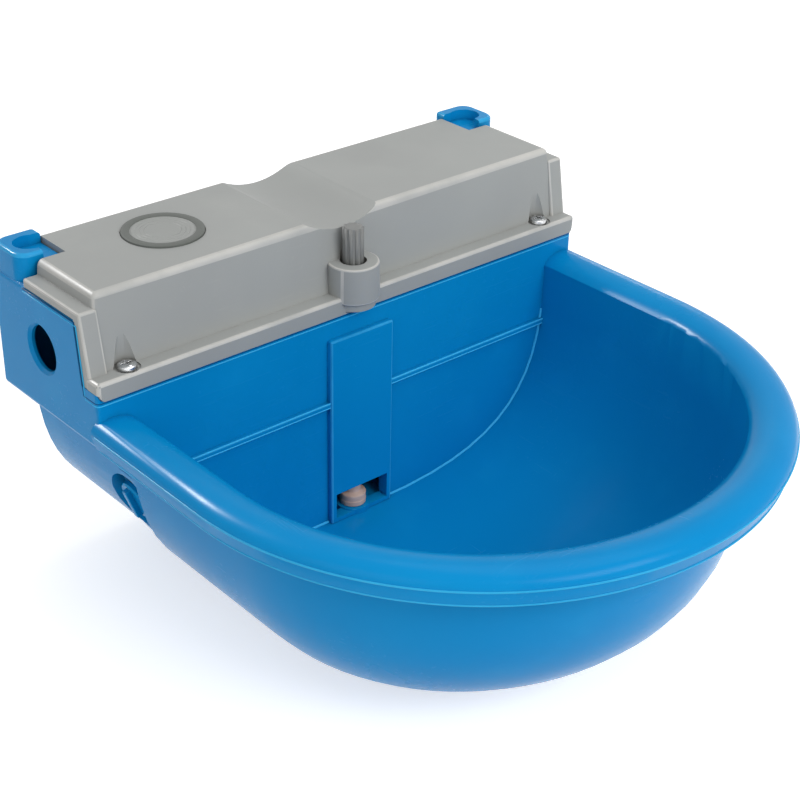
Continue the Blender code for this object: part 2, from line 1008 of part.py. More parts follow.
def makeKnob():
    foot = bossTop - bossWellDepth + gap
    outline = []
    for i in range(knobFlutes * 4):
        turn = 2 * math.pi * i / (knobFlutes * 4)
        radius = knobRadius - (0.8 * mm if i % 4 in (1, 2) else 0)
        outline.append((radius * math.cos(turn), rodY + radius * math.sin(turn)))
    knob = prism("drain_knob", outline, foot, knobTop, "Z")
    socket = rod(
        "knob_socket",
        rodRadius + gap,
        (0, rodY, foot - 5 * mm),
        (0, rodY, foot + knobSocket),
        sides=16,
    )
    cut(knob, socket)
    return asPart(knob, greyPlastic)


stopperSeat = outletTop + gap
stopperTop = stopperSeat + stopperHeight


def makeStopper():
    profile = [
        (rodRadius + gap, stopperTop),
        (stopperRadius - 1 * mm, stopperTop),
        (stopperRadius, stopperTop - 1 * mm),
        (stopperRadius, stopperSeat),
        (outletRadius - 2 * gap, stopperSeat),
        (outletRadius - 4 * gap, stopperSeat - stopperPlug),
        (0, stopperSeat - stopperPlug),
        (0, stopperSeat + 1 * mm),
        (rodRadius + gap, stopperSeat + 1 * mm),
    ]
    stopper = turned("drain_stopper", profile, (0, rodY, 0), (0, 0, 1), steps=32)
    return asPart(stopper, paleRubber)


def makeDrainRod():
    foot = stopperSeat + 1 * mm + gap
    top = bossTop - bossWellDepth + knobSocket
    pull = rod("drain_rod", rodRadius, (0, rodY, foot), (0, rodY, top), sides=16)
    return asPart(pull, steel)


def makeSidePortPlug():
    headFoot = -portRecessDepth + sealHeight + 2 * gap
    headTop = headFoot + plugHeadHeight
    stemRadius = portBoreRadius - gap
    lugTopZ = -portRecessDepth - portFloor - gap
    stemFoot = lugTopZ - plugLugHeight
    profile = [
        (0, headTop),
        (plugHeadRadius - 0.8 * mm, headTop),
        (plugHeadRadius, headTop - 0.8 * mm),
        (plugHeadRadius, headFoot),
        (stemRadius, headFoot),
        (stemRadius, stemFoot),
        (0, stemFoot),
    ]
    plug = turned("side_port_plug", profile, portCentre, portOut, steps=32)
    grip = box(
        "plug_grip",
        (1.6 * mm - plugHeadRadius, -plugGripWidth / 2, headTop - 0.5 * mm),
        (plugHeadRadius - 1.6 * mm, plugGripWidth / 2, headTop + plugGripHeight),
    )
    rounded(grip, 0.6 * mm, segments=2)
    reach = stemRadius + plugLugReach
    lugs = box(
        "plug_lugs",
        (-plugLugWidth / 2, -reach, stemFoot),
        (plugLugWidth / 2, reach, lugTopZ),
    )
    for extra in (grip, lugs):
        extra.matrix_world = plug.matrix_world
    join(plug, grip, lugs)
    return asPart(plug, bluePlastic)


def makeRing(name, inner, outer, height, origin, direction, material, start=0.0):
    profile = [(inner, start + height), (outer, start + height), (outer, start), (inner, start)]
    return asPart(turned(name, profile, origin, direction), material)


def alongValve(x):
    return (x, valveY, valveZ)


gasketX = webX + gap
flangeX = gasketX + gasketHeight + gap
threadEnd = webX - wall - gap - lockNutHeight - threadLength + 4 * mm


def makeValveBody():
    flangeEnd = flangeX + valveFlangeHeight
    body = rod("valve_body", barrelRadius, alongValve(flangeX), alongValve(barrelEnd), sides=32)
    thread = rod(
        "valve_thread",
        threadRadius,
        alongValve(threadEnd),
        alongValve(flangeX + 1 * mm),
        sides=32,
    )
    flange = rod(
        "valve_flange",
        valveFlangeRadius,
        alongValve(flangeX),
        alongValve(flangeEnd),
        sides=6,
    )
    boss = rod(
        "valve_outlet_boss",
        outletBossRadius,
        (outletX, valveY, outletBossFoot),
        (outletX, valveY, valveZ),
        sides=32,
    )
    join(body, thread, flange, boss)
    for side in (-1, 1):
        edges = sorted((valveY + side * lugPlateInner, valveY + side * lugPlateOuter))
        plate = box(
            "pivot_plate",
            (barrelEnd - 8 * mm, edges[0], pivotZ - 2.4 * pivotRadius),
            (pivotX + 2.4 * pivotRadius, edges[1], valveZ + 2 * mm),
        )
        rounded(plate, 0.8 * mm, segments=2)
        join(body, plate)
    inlet = rod(
        "valve_inlet_bore",
        inletBoreRadius,
        alongValve(threadEnd - 5 * mm),
        alongValve(nozzleBack + 1 * mm),
        sides=24,
    )
    chamber = rod("piston_bore", pistonBoreRadius, alongValve(nozzleBack), alongValve(0), sides=32)
    spout = rod(
        "spout_bore",
        outletTubeRadius - outletTubeWall,
        (outletX, valveY, outletBossFoot - 5 * mm),
        (outletX, valveY, valveZ),
        sides=24,
    )
    socket = rod(
        "tube_socket",
        outletTubeRadius + gap,
        (outletX, valveY, outletBossFoot - 5 * mm),
        (outletX, valveY, outletBossFoot + outletSocket),
        sides=32,
    )
    pinHole = rod(
        "pivot_hole",
        pivotRadius + gap,
        (pivotX, valveY - far, pivotZ),
        (pivotX, valveY + far, pivotZ),
        sides=16,
    )
    cut(body, inlet, chamber, spout, socket, pinHole)
    return asPart(body, brass)


def makeLockNut():
    end = webX - wall - gap
    nut = rod("valve_lock_nut", lockNutRadius, alongValve(end - lockNutHeight), alongValve(end), sides=6)
    bore = rod(
        "lock_nut_bore",
        threadRadius + gap,
        alongValve(end - 2 * lockNutHeight),
        alongValve(end + wall),
        sides=32,
    )
    cut(nut, bore)
    return asPart(nut, brass)


def makeStrainer():
    mouth = threadEnd - gap
    flange = inletBoreRadius + 2.2 * mm
    tube = inletBoreRadius - gap
    profile = [
        (tube - 0.9 * mm, -1 * mm),
        (flange, -1 * mm),
        (flange, 0),
        (tube, 0),
        (tube, 15 * mm),
        (0, 15 * mm),
        (0, 14 * mm),
        (tube - 0.9 * mm, 14 * mm),
    ]
    strainer = turned("inlet_strainer", profile[::-1], alongValve(mouth), (1, 0, 0), steps=24)
    for turn in range(4):
        angle = math.pi * turn / 4
        across = Vector((0, math.cos(angle), math.sin(angle))) * (inletBoreRadius + 2 * mm)
        middle = Vector(alongValve(mouth + (5 + 2.5 * (turn % 2)) * mm))
        hole = rod("strainer_hole", 1.4 * mm, middle - across, middle + across, sides=8)
        cut(strainer, hole)
    return asPart(strainer, whitePlastic)


def makeNozzle():
    outer = pistonBoreRadius - gap
    back = nozzleBack + gap
    length = nozzleTip - back
    profile = [
        (nozzleBoreRadius, 0),
        (outer, 0),
        (outer, 0.45 * length),
        (nozzleTipRadius, length),
        (nozzleBoreRadius, length),
    ]
    nozzle = turned("valve_nozzle", profile[::-1], alongValve(back), (1, 0, 0), steps=32)
    return asPart(nozzle, whitePlastic)


pushLength = valveZ - pivotZ
pistonTravel = pushLength * floatDrop
pushRestX = pivotX + pushLength * math.sin(floatDrop / 2)
pistonEnd = pushRestX - noseRadius - gap
sealFront = nozzleTip + gap + pistonTravel


def makePiston():
    back = sealFront + sealDiscHeight + gap
    pocket = sealFront + 0.6 * mm
    stemStart = pocket + pistonLength
    profile = [
        (sealDiscRadius + gap, pocket),
        (pistonRadius, pocket),
        (pistonRadius, stemStart - 1 * mm),
        (pistonRadius - 1 * mm, stemStart),
        (pistonStemRadius, stemStart),
        (pistonStemRadius, pistonEnd),
        (0, pistonEnd),
        (0, back),
        (sealDiscRadius + gap, back),
    ]
    piston = turned("valve_piston", profile[::-1], (0, valveY, valveZ), (1, 0, 0), steps=32)
    return asPart(piston, whitePlastic)


def makePistonSeal():
    seal = rod(
        "piston_seal",
        sealDiscRadius,
        alongValve(sealFront),
        alongValve(sealFront + sealDiscHeight),
        sides=24,
    )
    return asPart(seal, blackRubber)


def makeOutletTube():
    top = outletBossFoot + outletSocket - gap
    return makeRing(
        "outlet_tube",
        outletTubeRadius - outletTubeWall,
        outletTubeRadius,
        top - outletTubeFoot,
        (outletX, valveY, 0),
        (0, 0, 1),
        whitePlastic,
        start=outletTubeFoot,
    )


def makePivotPin():
    pin = rod(
        "lever_pivot_pin",
        pivotRadius,
        (pivotX, valveY - pivotHalfLength, pivotZ),
        (pivotX, valveY + pivotHalfLength, pivotZ),
        sides=20,
    )
    head = rod(
        "pivot_pin_head",
        1.7 * pivotRadius,
        (pivotX, valveY - pivotHalfLength, pivotZ),
        (pivotX, valveY - pivotHalfLength + 1.1 * mm, pivotZ),
        sides=20,
    )
    join(pin, head)
    return asPart(pin, steel)


floatHinge = bpy.data.objects.new("float_hinge", None)
cutterCollection.objects.link(floatHinge)
floatHinge.location = (pivotX, valveY, pivotZ)


def hang(obj):
    """Carries a piece on the float hinge, which is then let down to the rest position."""
    obj.matrix_world = Matrix.Translation((-pivotX, -valveY, -pivotZ)) @ obj.matrix_world
    obj.parent = floatHinge
    return obj


def makeLever():
    half = lugPlateInner - cheekGap
    hub = rod(
        "float_lever",
        hubRadius,
        (pivotX, valveY - half, pivotZ),
        (pivotX, valveY + half, pivotZ),
        sides=32,
    )
    arm = box(
        "lever_arm",
        (pivotX, valveY - armHalfWidth, pivotZ - armThickness / 2),
        (floatX + 2.2 * stemRadius, valveY + armHalfWidth, pivotZ + armThickness / 2),
    )
    rounded(arm, 0.8 * mm, segments=2)
    rib = box(
        "lever_rib",
        (pivotX, valveY - armThickness / 2, pivotZ - armThickness / 2),
        (floatX - 3 * stemRadius, valveY + armThickness / 2, pivotZ + 2 * armThickness),
    )
    rounded(rib, 0.8 * mm, segments=2)
    lean = -floatDrop / 2
    tip = Vector((pivotX + pushLength * math.sin(lean), valveY, pivotZ + pushLength * math.cos(lean)))
    push = box(
        "push_arm",
        (-pushThickness / 2, -pushHalfWidth, 0),
        (pushThickness / 2, pushHalfWidth, pushLength),
    )
    push.matrix_world = Matrix.Translation((pivotX, valveY, pivotZ)) @ Matrix.Rotation(lean, 4, "Y")
    across = Vector((0, pushHalfWidth, 0))
    nose = rod("push_nose", noseRadius, tip - across, tip + across, sides=20)
    join(hub, arm, rib, push, nose)
    bore = rod(
        "hub_bore",
        pivotRadius + gap,
        (pivotX, valveY - 2 * half, pivotZ),
        (pivotX, valveY + 2 * half, pivotZ),
        sides=20,
    )
    eye = rod(
        "stem_eye",
        stemRadius + gap,
        (floatX, valveY, pivotZ - far),
        (floatX, valveY, pivotZ + far),
        sides=20,
    )
    cut(hub, bore, eye)
    for helper in (arm, rib, push, nose, bore, eye):
        hang(helper)
    return hang(asPart(hub, whitePlastic))


def makeStem():
    foot = floatTop - floatHeight - gap
    profile = [
        (0, stemTop),
        (stemRadius - 0.5 * mm, stemTop),
        (stemRadius, stemTop - 0.5 * mm),
        (stemRadius, foot),
        (stemHeadRadius, foot),
        (stemHeadRadius, foot - stemHeadHeight),
        (0, foot - stemHeadHeight),
    ]
    return hang(asPart(turned("float_stem", profile, (floatX, valveY, 0), (0, 0, 1), steps=24), steel))


def makeNut(name, foot):
    nut = rod(name, nutRadius, (floatX, valveY, foot), (floatX, valveY, foot + nutHeight), sides=6)
    bore = rod(
        name + "_bore",
        stemRadius + gap,
        (floatX, valveY, foot - nutHeight),
        (floatX, valveY, foot + 2 * nutHeight),
        sides=20,
    )
    cut(nut, bore)
    hang(bore)
    return hang(asPart(nut, steel))


def makeFloat():
    body = box(
        "float",
        (floatX - floatLength / 2, valveY - floatWidth / 2, floatTop - floatHeight),
        (floatX + floatLength / 2, valveY + floatWidth / 2, floatTop),
    )
    rounded(body, floatRound, segments=4)
    bore = rod(
        "float_bore",
        stemRadius + gap,
        (floatX, valveY, -far),
        (floatX, valveY, far),
        sides=20,
    )
    cut(body, bore)
    hang(bore)
    return hang(asPart(body, floatFoam))


makeBowlBody()
makeCover()
makeBadge()
makeScrew("cover_screw_left", -1)
makeScrew("cover_screw_right", 1)
makeKnob()
makeDrainRod()
makeStopper()
makeSidePortPlug()
makeRing(
    "side_port_seal",
    portBoreRadius + gap,
    plugHeadRadius - 1 * mm,
    sealHeight,
    portCentre,
    portOut,
    blackRubber,
    start=gap - portRecessDepth,
)
makeValveBody()
makeLockNut()
makeRing(
    "valve_gasket",
    threadRadius + gap,
    valveFlangeRadius,
    gasketHeight,
    alongValve(gasketX),
    (1, 0, 0),
    blackRubber,
)
makeStrainer()
makeNozzle()
makePiston()
makePistonSeal()
makeOutletTube()
makePivotPin()
makeLever()
makeStem()
makeNut("float_clamp_nut", floatTop + gap)
makeNut("level_nut_lower", pivotZ - armThickness / 2 - gap - nutHeight)
makeNut("level_nut_upper", pivotZ + armThickness / 2 + gap)
makeFloat()

floatHinge.rotation_euler = (0, floatDrop, 0)
bpy.context.view_layer.update()
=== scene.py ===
# Float drinking bowl: finished mouldings, metal and rubber pieces, camera, floor and studio light.
import json
import math

import bmesh
import bpy
from mathutils import Matrix, Vector


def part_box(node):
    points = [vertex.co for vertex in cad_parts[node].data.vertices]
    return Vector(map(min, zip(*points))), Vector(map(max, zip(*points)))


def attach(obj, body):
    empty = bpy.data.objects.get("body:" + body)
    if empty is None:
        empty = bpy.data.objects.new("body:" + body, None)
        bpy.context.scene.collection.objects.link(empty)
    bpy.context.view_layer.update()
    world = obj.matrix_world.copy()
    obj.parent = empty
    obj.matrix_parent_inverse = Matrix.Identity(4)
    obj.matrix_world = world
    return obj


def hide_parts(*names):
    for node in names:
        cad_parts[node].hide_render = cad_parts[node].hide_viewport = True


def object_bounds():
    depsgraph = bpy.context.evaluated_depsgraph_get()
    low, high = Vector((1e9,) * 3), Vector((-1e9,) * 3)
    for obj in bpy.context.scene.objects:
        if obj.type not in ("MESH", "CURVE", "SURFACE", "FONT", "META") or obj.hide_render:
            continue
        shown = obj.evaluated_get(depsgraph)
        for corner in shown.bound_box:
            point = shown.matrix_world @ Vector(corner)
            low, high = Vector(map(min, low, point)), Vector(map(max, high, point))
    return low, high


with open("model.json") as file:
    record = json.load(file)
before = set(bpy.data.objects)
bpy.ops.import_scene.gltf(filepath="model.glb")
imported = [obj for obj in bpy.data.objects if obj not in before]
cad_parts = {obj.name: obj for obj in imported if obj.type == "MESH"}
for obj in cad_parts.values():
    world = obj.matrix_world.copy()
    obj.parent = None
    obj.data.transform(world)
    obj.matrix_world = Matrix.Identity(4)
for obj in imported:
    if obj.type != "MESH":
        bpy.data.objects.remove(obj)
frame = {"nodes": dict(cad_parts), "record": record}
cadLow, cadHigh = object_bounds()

mm = 0.001
scene = bpy.context.scene
record = frame["record"]
bodyOf = {node: body for body, nodes in record["behaviour"]["bodies"].items() for node in nodes}
slotOf = {row["node"]: row["material_slot"] for row in record["subparts"]}

# Small helpers for node trees


def connect(tree, socket, value):
    if isinstance(value, bpy.types.NodeSocket):
        tree.links.new(value, socket)
    elif socket.type == "RGBA":
        socket.default_value = (*value[:3], 1.0)
    else:
        socket.default_value = value


def addNode(tree, kind, settings=None, **sockets):
    node = tree.nodes.new(kind if kind.startswith("GeometryNode") else "ShaderNode" + kind)
    for key, value in (settings or {}).items():
        setattr(node, key, value)
    for key, value in sockets.items():
        connect(tree, node.inputs[key.replace("_", " ")], value)
    return node


def newMaterial(name):
    material = bpy.data.materials.new(name)
    material.use_nodes = True
    tree = material.node_tree
    return material, tree, tree.nodes["Principled BSDF"]


# Object coordinates, stretched for flow lines and scratches
def place(tree, stretch=(1, 1, 1), shift=(0, 0, 0)):
    coordinates = addNode(tree, "TexCoord").outputs["Object"]
    mapping = addNode(tree, "Mapping", Vector=coordinates, Scale=stretch, Location=shift)
    return mapping.outputs["Vector"]


def noise(tree, scale, detail=3.0, stretch=(1, 1, 1), shift=(0, 0, 0), distortion=0.0):
    where = place(tree, stretch, shift)
    node = addNode(tree, "TexNoise", Vector=where, Scale=scale, Detail=detail, Distortion=distortion)
    return node.outputs["Fac"]


# Takes a value from low..high to start..end
def spread(tree, value, low, high, start, end, smooth=True):
    settings = {"interpolation_type": "SMOOTHSTEP" if smooth else "LINEAR"}
    node = addNode(tree, "MapRange", settings, Value=value)
    for index, number in enumerate((low, high, start, end), 1):
        node.inputs[index].default_value = number
    return node.outputs["Result"]


def sums(tree, operation, first, second):
    node = addNode(tree, "Math", {"operation": operation})
    connect(tree, node.inputs[0], first)
    connect(tree, node.inputs[1], second)
    return node.outputs[0]


def mixed(tree, factor, first, second, mode="MIX"):
    node = addNode(tree, "Mix", {"data_type": "RGBA", "blend_type": mode})
    connect(tree, node.inputs[0], factor)
    connect(tree, node.inputs[6], first)
    connect(tree, node.inputs[7], second)
    return node.outputs[2]


def bump(tree, height, strength, distance, below=None):
    node = addNode(tree, "Bump", Height=height, Strength=strength, Distance=distance)
    if below is not None:
        tree.links.new(below, node.inputs["Normal"])
    return node.outputs["Normal"]


# Finishes

# In each look, one colour darkens corners and creases as painted shade. The edge colour goes on pale
# edges, which are partly wear and partly painted highlight
blueLook = {
    "base": (0.002, 0.245, 0.56),
    "deep": (0.001, 0.225, 0.53),
    "pale": (0.012, 0.34, 0.66),
    "edge": (0.06, 0.45, 0.78),
    "shadeColour": (0.002, 0.06, 0.14),
    "roughness": 0.24,
    "specular": 0.08,
    "wearAndSheen": 0.5,
    "scratch": 0.035,
    "grain": 900,
    "grainHeight": 0.008 * mm,
    "peelHeight": 0.035 * mm,
}
greyLook = {
    "base": (0.338, 0.35, 0.34),
    "deep": (0.318, 0.328, 0.32),
    "pale": (0.4, 0.398, 0.38),
    "edge": (0.56, 0.55, 0.52),
    "shadeColour": (0.2, 0.19, 0.17),
    "roughness": 0.46,
    "specular": 0.22,
    "wearAndSheen": 0.75,
    "scratch": 0.2,
    "grain": 1500,
    "grainHeight": 0.02 * mm,
    "peelHeight": 0.04 * mm,
}
knobLook = {
    **greyLook,
    "base": (0.235, 0.24, 0.235),
    "deep": (0.2, 0.205, 0.2),
    "pale": (0.3, 0.3, 0.29),
    "edge": (0.45, 0.45, 0.44),
}
ringLook = {
    **greyLook,
    "base": (0.135, 0.145, 0.135),
    "deep": (0.11, 0.12, 0.11),
    "pale": (0.19, 0.195, 0.185),
    "edge": (0.3, 0.3, 0.29),
    "shadeColour": (0.06, 0.06, 0.055),
}
discLook = {
    **greyLook,
    "base": (0.33, 0.345, 0.33),
    "deep": (0.29, 0.3, 0.29),
    "pale": (0.4, 0.4, 0.385),
}
# Paler blue for the rim's thin beads: a painted highlight
highlightBeadLook = {
    **blueLook,
    "base": (0.03, 0.38, 0.68),
    "deep": (0.02, 0.34, 0.63),
    "pale": (0.08, 0.46, 0.76),
}
# Bright blue for the fillet and ledge beads and the lip under the seam: a painted highlight
filletHighlightLook = {
    **blueLook,
    "base": (0.05, 0.48, 0.82),
    "deep": (0.04, 0.44, 0.78),
    "pale": (0.1, 0.54, 0.86),
}
# Dark blue for the line under the cover's flange: painted shadow
seamShadowLook = {
    **blueLook,
    "base": (0.001, 0.1, 0.27),
    "deep": (0.001, 0.08, 0.22),
    "pale": (0.002, 0.13, 0.32),
}
plugLook = {**blueLook, "edge": blueLook["pale"]}
whiteLook = {
    "base": (0.74, 0.73, 0.69),
    "deep": (0.66, 0.65, 0.6),
    "pale": (0.82, 0.81, 0.78),
    "edge": (0.84, 0.83, 0.8),
    "shadeColour": (0.42, 0.38, 0.3),
    "wearAndSheen": 0.4,
    "scratch": 0.3,
    "roughness": 0.36,
    "specular": 0.45,
    "grain": 1400,
    "grainHeight": 0.012 * mm,
    "peelHeight": 0.03 * mm,
}
# Sizes of the patterns in every moulded plastic: a larger number is a finer pattern
mouldPattern = {
    "flow": 9,
    "patches": 15,
    "cloud": 34,
    "peel": 160,
    "scuffs": 430,
    "scratches": 520,
    "ior": 1.49,
}


# Injection-moulded plastic: melt flow in the colour, fine grain, light scratches, painted shade in the
# corners, and pale edges that are partly wear and partly painted highlight
def mouldedPlastic(name, look, crevice=7 * mm):
    material, tree, shader = newMaterial(name)
    size = mouldPattern
    flow = noise(tree, size["flow"], detail=4, stretch=(1, 1, 0.5), distortion=0.6)
    cloud = noise(tree, size["cloud"], detail=5, shift=(3, 1, 2))
    grain = noise(tree, look["grain"], detail=2)
    peel = noise(tree, size["peel"], detail=2, shift=(5, 0, 1))
    scratches = noise(tree, size["scratches"], detail=1, stretch=(0.06, 1, 1.2), distortion=0.15)
    scuffs = noise(tree, size["scuffs"], detail=1, stretch=(1.1, 0.05, 1), shift=(0, 4, 2), distortion=0.2)
    patches = noise(tree, size["patches"], detail=4, shift=(7, 2, 9))
    colour = mixed(tree, spread(tree, flow, 0.36, 0.66, 0, 1), look["deep"], look["base"])
    colour = mixed(tree, spread(tree, cloud, 0.5, 0.8, 0, 0.16), colour, look["pale"])
    line = spread(tree, scratches, 0.66, 0.72, 0, 1)
    rub = spread(tree, scuffs, 0.68, 0.74, 0, 1)
    marks = sums(tree, "MAXIMUM", line, rub)
    worn = sums(tree, "MULTIPLY", marks, spread(tree, patches, 0.52, 0.66, 0, 1))
    colour = mixed(tree, sums(tree, "MULTIPLY", worn, look["scratch"]), colour, look["pale"])
    # Pale edges: partly wear, partly a painted highlight along rounded edges
    edge = addNode(tree, "Attribute", {"attribute_name": "wearAndSheen"}).outputs["Fac"]
    edge = sums(tree, "MULTIPLY", edge, spread(tree, cloud, 0.25, 0.6, 0.45 * look["wearAndSheen"], look["wearAndSheen"]))
    colour = mixed(tree, edge, colour, look["edge"])
    # Painted shade: the colour darkens where the AO node finds corners, creases and recesses
    shade = addNode(tree, "AmbientOcclusion", {"samples": 6}, Distance=crevice)
    corners = spread(tree, shade.outputs["AO"], 0.75, 0.2, 0, 1)
    shadeMask = sums(tree, "MULTIPLY", corners, spread(tree, cloud, 0.3, 0.7, 0.2, 0.75))
    colour = mixed(tree, shadeMask, colour, look["shadeColour"])
    tree.links.new(colour, shader.inputs["Base Color"])
    rough = spread(tree, patches, 0.3, 0.7, look["roughness"] * 0.86, look["roughness"] * 1.16)
    rough = sums(tree, "ADD", rough, sums(tree, "MULTIPLY", worn, 0.16))
    rough = sums(tree, "ADD", rough, sums(tree, "MULTIPLY", shadeMask, 0.2))
    tree.links.new(rough, shader.inputs["Roughness"])
    relief = bump(tree, peel, 0.35, look["peelHeight"])
    relief = bump(tree, grain, 0.5, look["grainHeight"], relief)
    relief = bump(tree, worn, 0.25, -0.012 * mm, relief)
    tree.links.new(relief, shader.inputs["Normal"])
    shader.inputs["IOR"].default_value = size["ior"]
    shader.inputs["Specular IOR Level"].default_value = look["specular"]
    return material


brassLook = {
    "base": (0.72, 0.5, 0.2),
    "dull": (0.3, 0.19, 0.08),
    "roughness": 0.26,
    "tarnish": 0.7,
}
steelLook = {
    "base": (0.72, 0.73, 0.74),
    "dull": (0.34, 0.34, 0.34),
    "roughness": 0.2,
    "tarnish": 0.45,
}
metalPattern = {"lines": 900, "cloud": 120, "marks": 420, "crevice": 1.5 * mm}


# Turned or drawn metal: fine tool lines, tarnish in patches and water marks
def turnedMetal(name, look):
    material, tree, shader = newMaterial(name)
    size = metalPattern
    dull = look["dull"]
    tarnish = look["tarnish"]
    lines = noise(tree, size["lines"], detail=2, stretch=(0.08, 0.08, 1.0))
    cloud = noise(tree, size["cloud"], detail=5)
    marks = noise(tree, size["marks"], detail=3, shift=(2, 6, 1))
    colour = mixed(tree, spread(tree, cloud, 0.35, 0.7, 0, tarnish), look["base"], dull)
    colour = mixed(tree, spread(tree, marks, 0.62, 0.72, 0, 0.5 * tarnish), colour, dull)
    shade = addNode(tree, "AmbientOcclusion", {"samples": 6}, Distance=size["crevice"])
    colour = mixed(tree, spread(tree, shade.outputs["AO"], 0.8, 0.2, 0, 0.6), colour, dull)
    tree.links.new(colour, shader.inputs["Base Color"])
    smooth = look["roughness"] * 0.8
    rough = look["roughness"] * 1.3
    uneven = spread(tree, cloud, 0.3, 0.7, smooth, rough)
    uneven = sums(tree, "ADD", uneven, spread(tree, lines, 0.4, 0.6, 0, 0.06))
    tree.links.new(uneven, shader.inputs["Roughness"])
    relief = bump(tree, lines, 0.4, 0.006 * mm)
    relief = bump(tree, marks, 0.3, 0.01 * mm, relief)
    tree.links.new(relief, shader.inputs["Normal"])
    shader.inputs["Metallic"].default_value = 1.0
    return material


blackRubberLook = {"base": (0.016, 0.016, 0.017), "bloom": (0.05, 0.05, 0.048), "roughness": 0.62}
paleRubberLook = {"base": (0.6, 0.4, 0.31), "bloom": (0.7, 0.55, 0.46), "roughness": 0.55}
rubberPattern = {"cloud": 130, "pores": 1300, "poreDepth": 0.03 * mm, "specular": 0.35}


# Matt rubber with a dusty bloom and fine pores
def rubber(name, look):
    material, tree, shader = newMaterial(name)
    size = rubberPattern
    cloud = noise(tree, size["cloud"], detail=5)
    pores = noise(tree, size["pores"], detail=2)
    colour = mixed(tree, spread(tree, cloud, 0.4, 0.75, 0, 0.7), look["base"], look["bloom"])
    tree.links.new(colour, shader.inputs["Base Color"])
    smooth = look["roughness"] - 0.08
    rough = look["roughness"] + 0.1
    tree.links.new(spread(tree, cloud, 0.3, 0.7, smooth, rough), shader.inputs["Roughness"])
    tree.links.new(bump(tree, pores, 0.5, size["poreDepth"]), shader.inputs["Normal"])
    shader.inputs["Specular IOR Level"].default_value = size["specular"]
    return material


foamLook = {
    "base": (0.6, 0.5, 0.4),
    "deep": (0.42, 0.33, 0.24),
    "smooth": 0.62,
    "rough": 0.78,
    "cells": 620.0,
    "cellDepth": 0.12 * mm,
    "cloud": 60,
    "specular": 0.3,
}


# Closed-cell foam with small round cells and a moulding skin that has darkened in patches
def cellFoam(name, look):
    material, tree, shader = newMaterial(name)
    cells = addNode(tree, "TexVoronoi", Vector=place(tree), Scale=look["cells"]).outputs["Distance"]
    cloud = noise(tree, look["cloud"], detail=5)
    colour = mixed(tree, spread(tree, cloud, 0.35, 0.7, 0, 0.8), look["base"], look["deep"])
    colour = mixed(tree, spread(tree, cells, 0.25, 0.0, 0, 0.35), colour, look["deep"])
    tree.links.new(colour, shader.inputs["Base Color"])
    rough = spread(tree, cloud, 0.3, 0.7, look["smooth"], look["rough"])
    tree.links.new(rough, shader.inputs["Roughness"])
    tree.links.new(bump(tree, cells, 0.6, look["cellDepth"]), shader.inputs["Normal"])
    shader.inputs["Specular IOR Level"].default_value = look["specular"]
    return material


# crevice is how far the painted shade reaches out of corners and recesses
finishes = {
    "blue_plastic": mouldedPlastic("blue_plastic_finish", blueLook),
    "grey_plastic": mouldedPlastic("grey_plastic_finish", greyLook, crevice=5 * mm),
    "white_plastic": mouldedPlastic("white_plastic_finish", whiteLook, crevice=3 * mm),
    "badge_plastic": mouldedPlastic("badge_ring_finish", ringLook, crevice=2 * mm),
    "float_foam": cellFoam("float_foam_finish", foamLook),
    "black_rubber": rubber("black_rubber_finish", blackRubberLook),
    "pale_rubber": rubber("pale_rubber_finish", paleRubberLook),
    "brass": turnedMetal("brass_finish", brassLook),
    "steel": turnedMetal("steel_finish", steelLook),
}
knobFinish = mouldedPlastic("knob_finish", knobLook, crevice=1.5 * mm)
discFinish = mouldedPlastic("badge_disc_finish", discLook, crevice=1 * mm)
highlightBeadFinish = mouldedPlastic("highlight_bead_blue_finish", highlightBeadLook, crevice=0.8 * mm)
filletHighlightFinish = mouldedPlastic("fillet_highlight_blue_finish", filletHighlightLook, crevice=0.05 * mm)
plugFinish = mouldedPlastic("port_plug_finish", plugLook, crevice=9 * mm)
seamShadowFinish = mouldedPlastic("seam_shadow_finish", seamShadowLook, crevice=1 * mm)
print("finishes ready")

# Pieces


def linked(obj):
    scene.collection.objects.link(obj)
    return obj


# The object as it is evaluated, as a plain mesh whose place is in its points
def baked(obj, name):
    bpy.context.view_layer.update()
    graph = bpy.context.evaluated_depsgraph_get()
    mesh = bpy.data.meshes.new_from_object(obj.evaluated_get(graph), depsgraph=graph)
    mesh.transform(obj.matrix_world)
    bpy.data.objects.remove(obj)
    mesh.name = name
    return linked(bpy.data.objects.new(name, mesh))


# Gives a piece its finish and lets it ride in the place of a node
def ridden(obj, node, finish=None):
    if finish is not None or not obj.data.materials:
        obj.data.materials.clear()
        obj.data.materials.append(finish or finishes[slotOf[node]])
    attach(obj, bodyOf[node])
    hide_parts(node)


# How the copies of the solids are cleaned, eased and shaded, and where their edges go pale with wear and
# painted highlight
edgeLook = {
    "weld": 0.01 * mm,
    "flat": math.radians(0.05),
    "sharp": math.radians(38),
    "segments": 2,
    "weight": 50,
    "wideFace": 12 * mm * mm,
    "square": 0.9998,
    "wearAndSheenWidth": 0.9 * mm,
    "wearAndSheenTurn": math.radians(5.5),
    "longSide": 0.3,
    "hollow": -0.02,
    "evenedFace": 4 * mm * mm,
    "evenedTurn": math.radians(25),
}


# Smooth shading in which a flat face keeps its own normal up to its rounded edges. With squareOnly,
# only a wide face square to an axis does
def smoothed(obj, squareOnly):
    look = edgeLook
    mesh = obj.data
    mesh.shade_smooth()
    mesh.set_sharp_from_angle(angle=look["sharp"])
    flat = [
        face
        for face in mesh.polygons
        if not squareOnly
        or face.area > look["wideFace"] and max(abs(c) for c in face.normal) > look["square"]
    ]
    group = obj.vertex_groups.new(name="flat")
    group.add(sorted({v for face in flat for v in face.vertices}), 1.0, "REPLACE")
    weights = obj.modifiers.new("weights", "WEIGHTED_NORMAL")
    weights.mode = "FACE_AREA_WITH_ANGLE"
    weights.weight = look["weight"]
    weights.keep_sharp = True
    weights.vertex_group = group.name
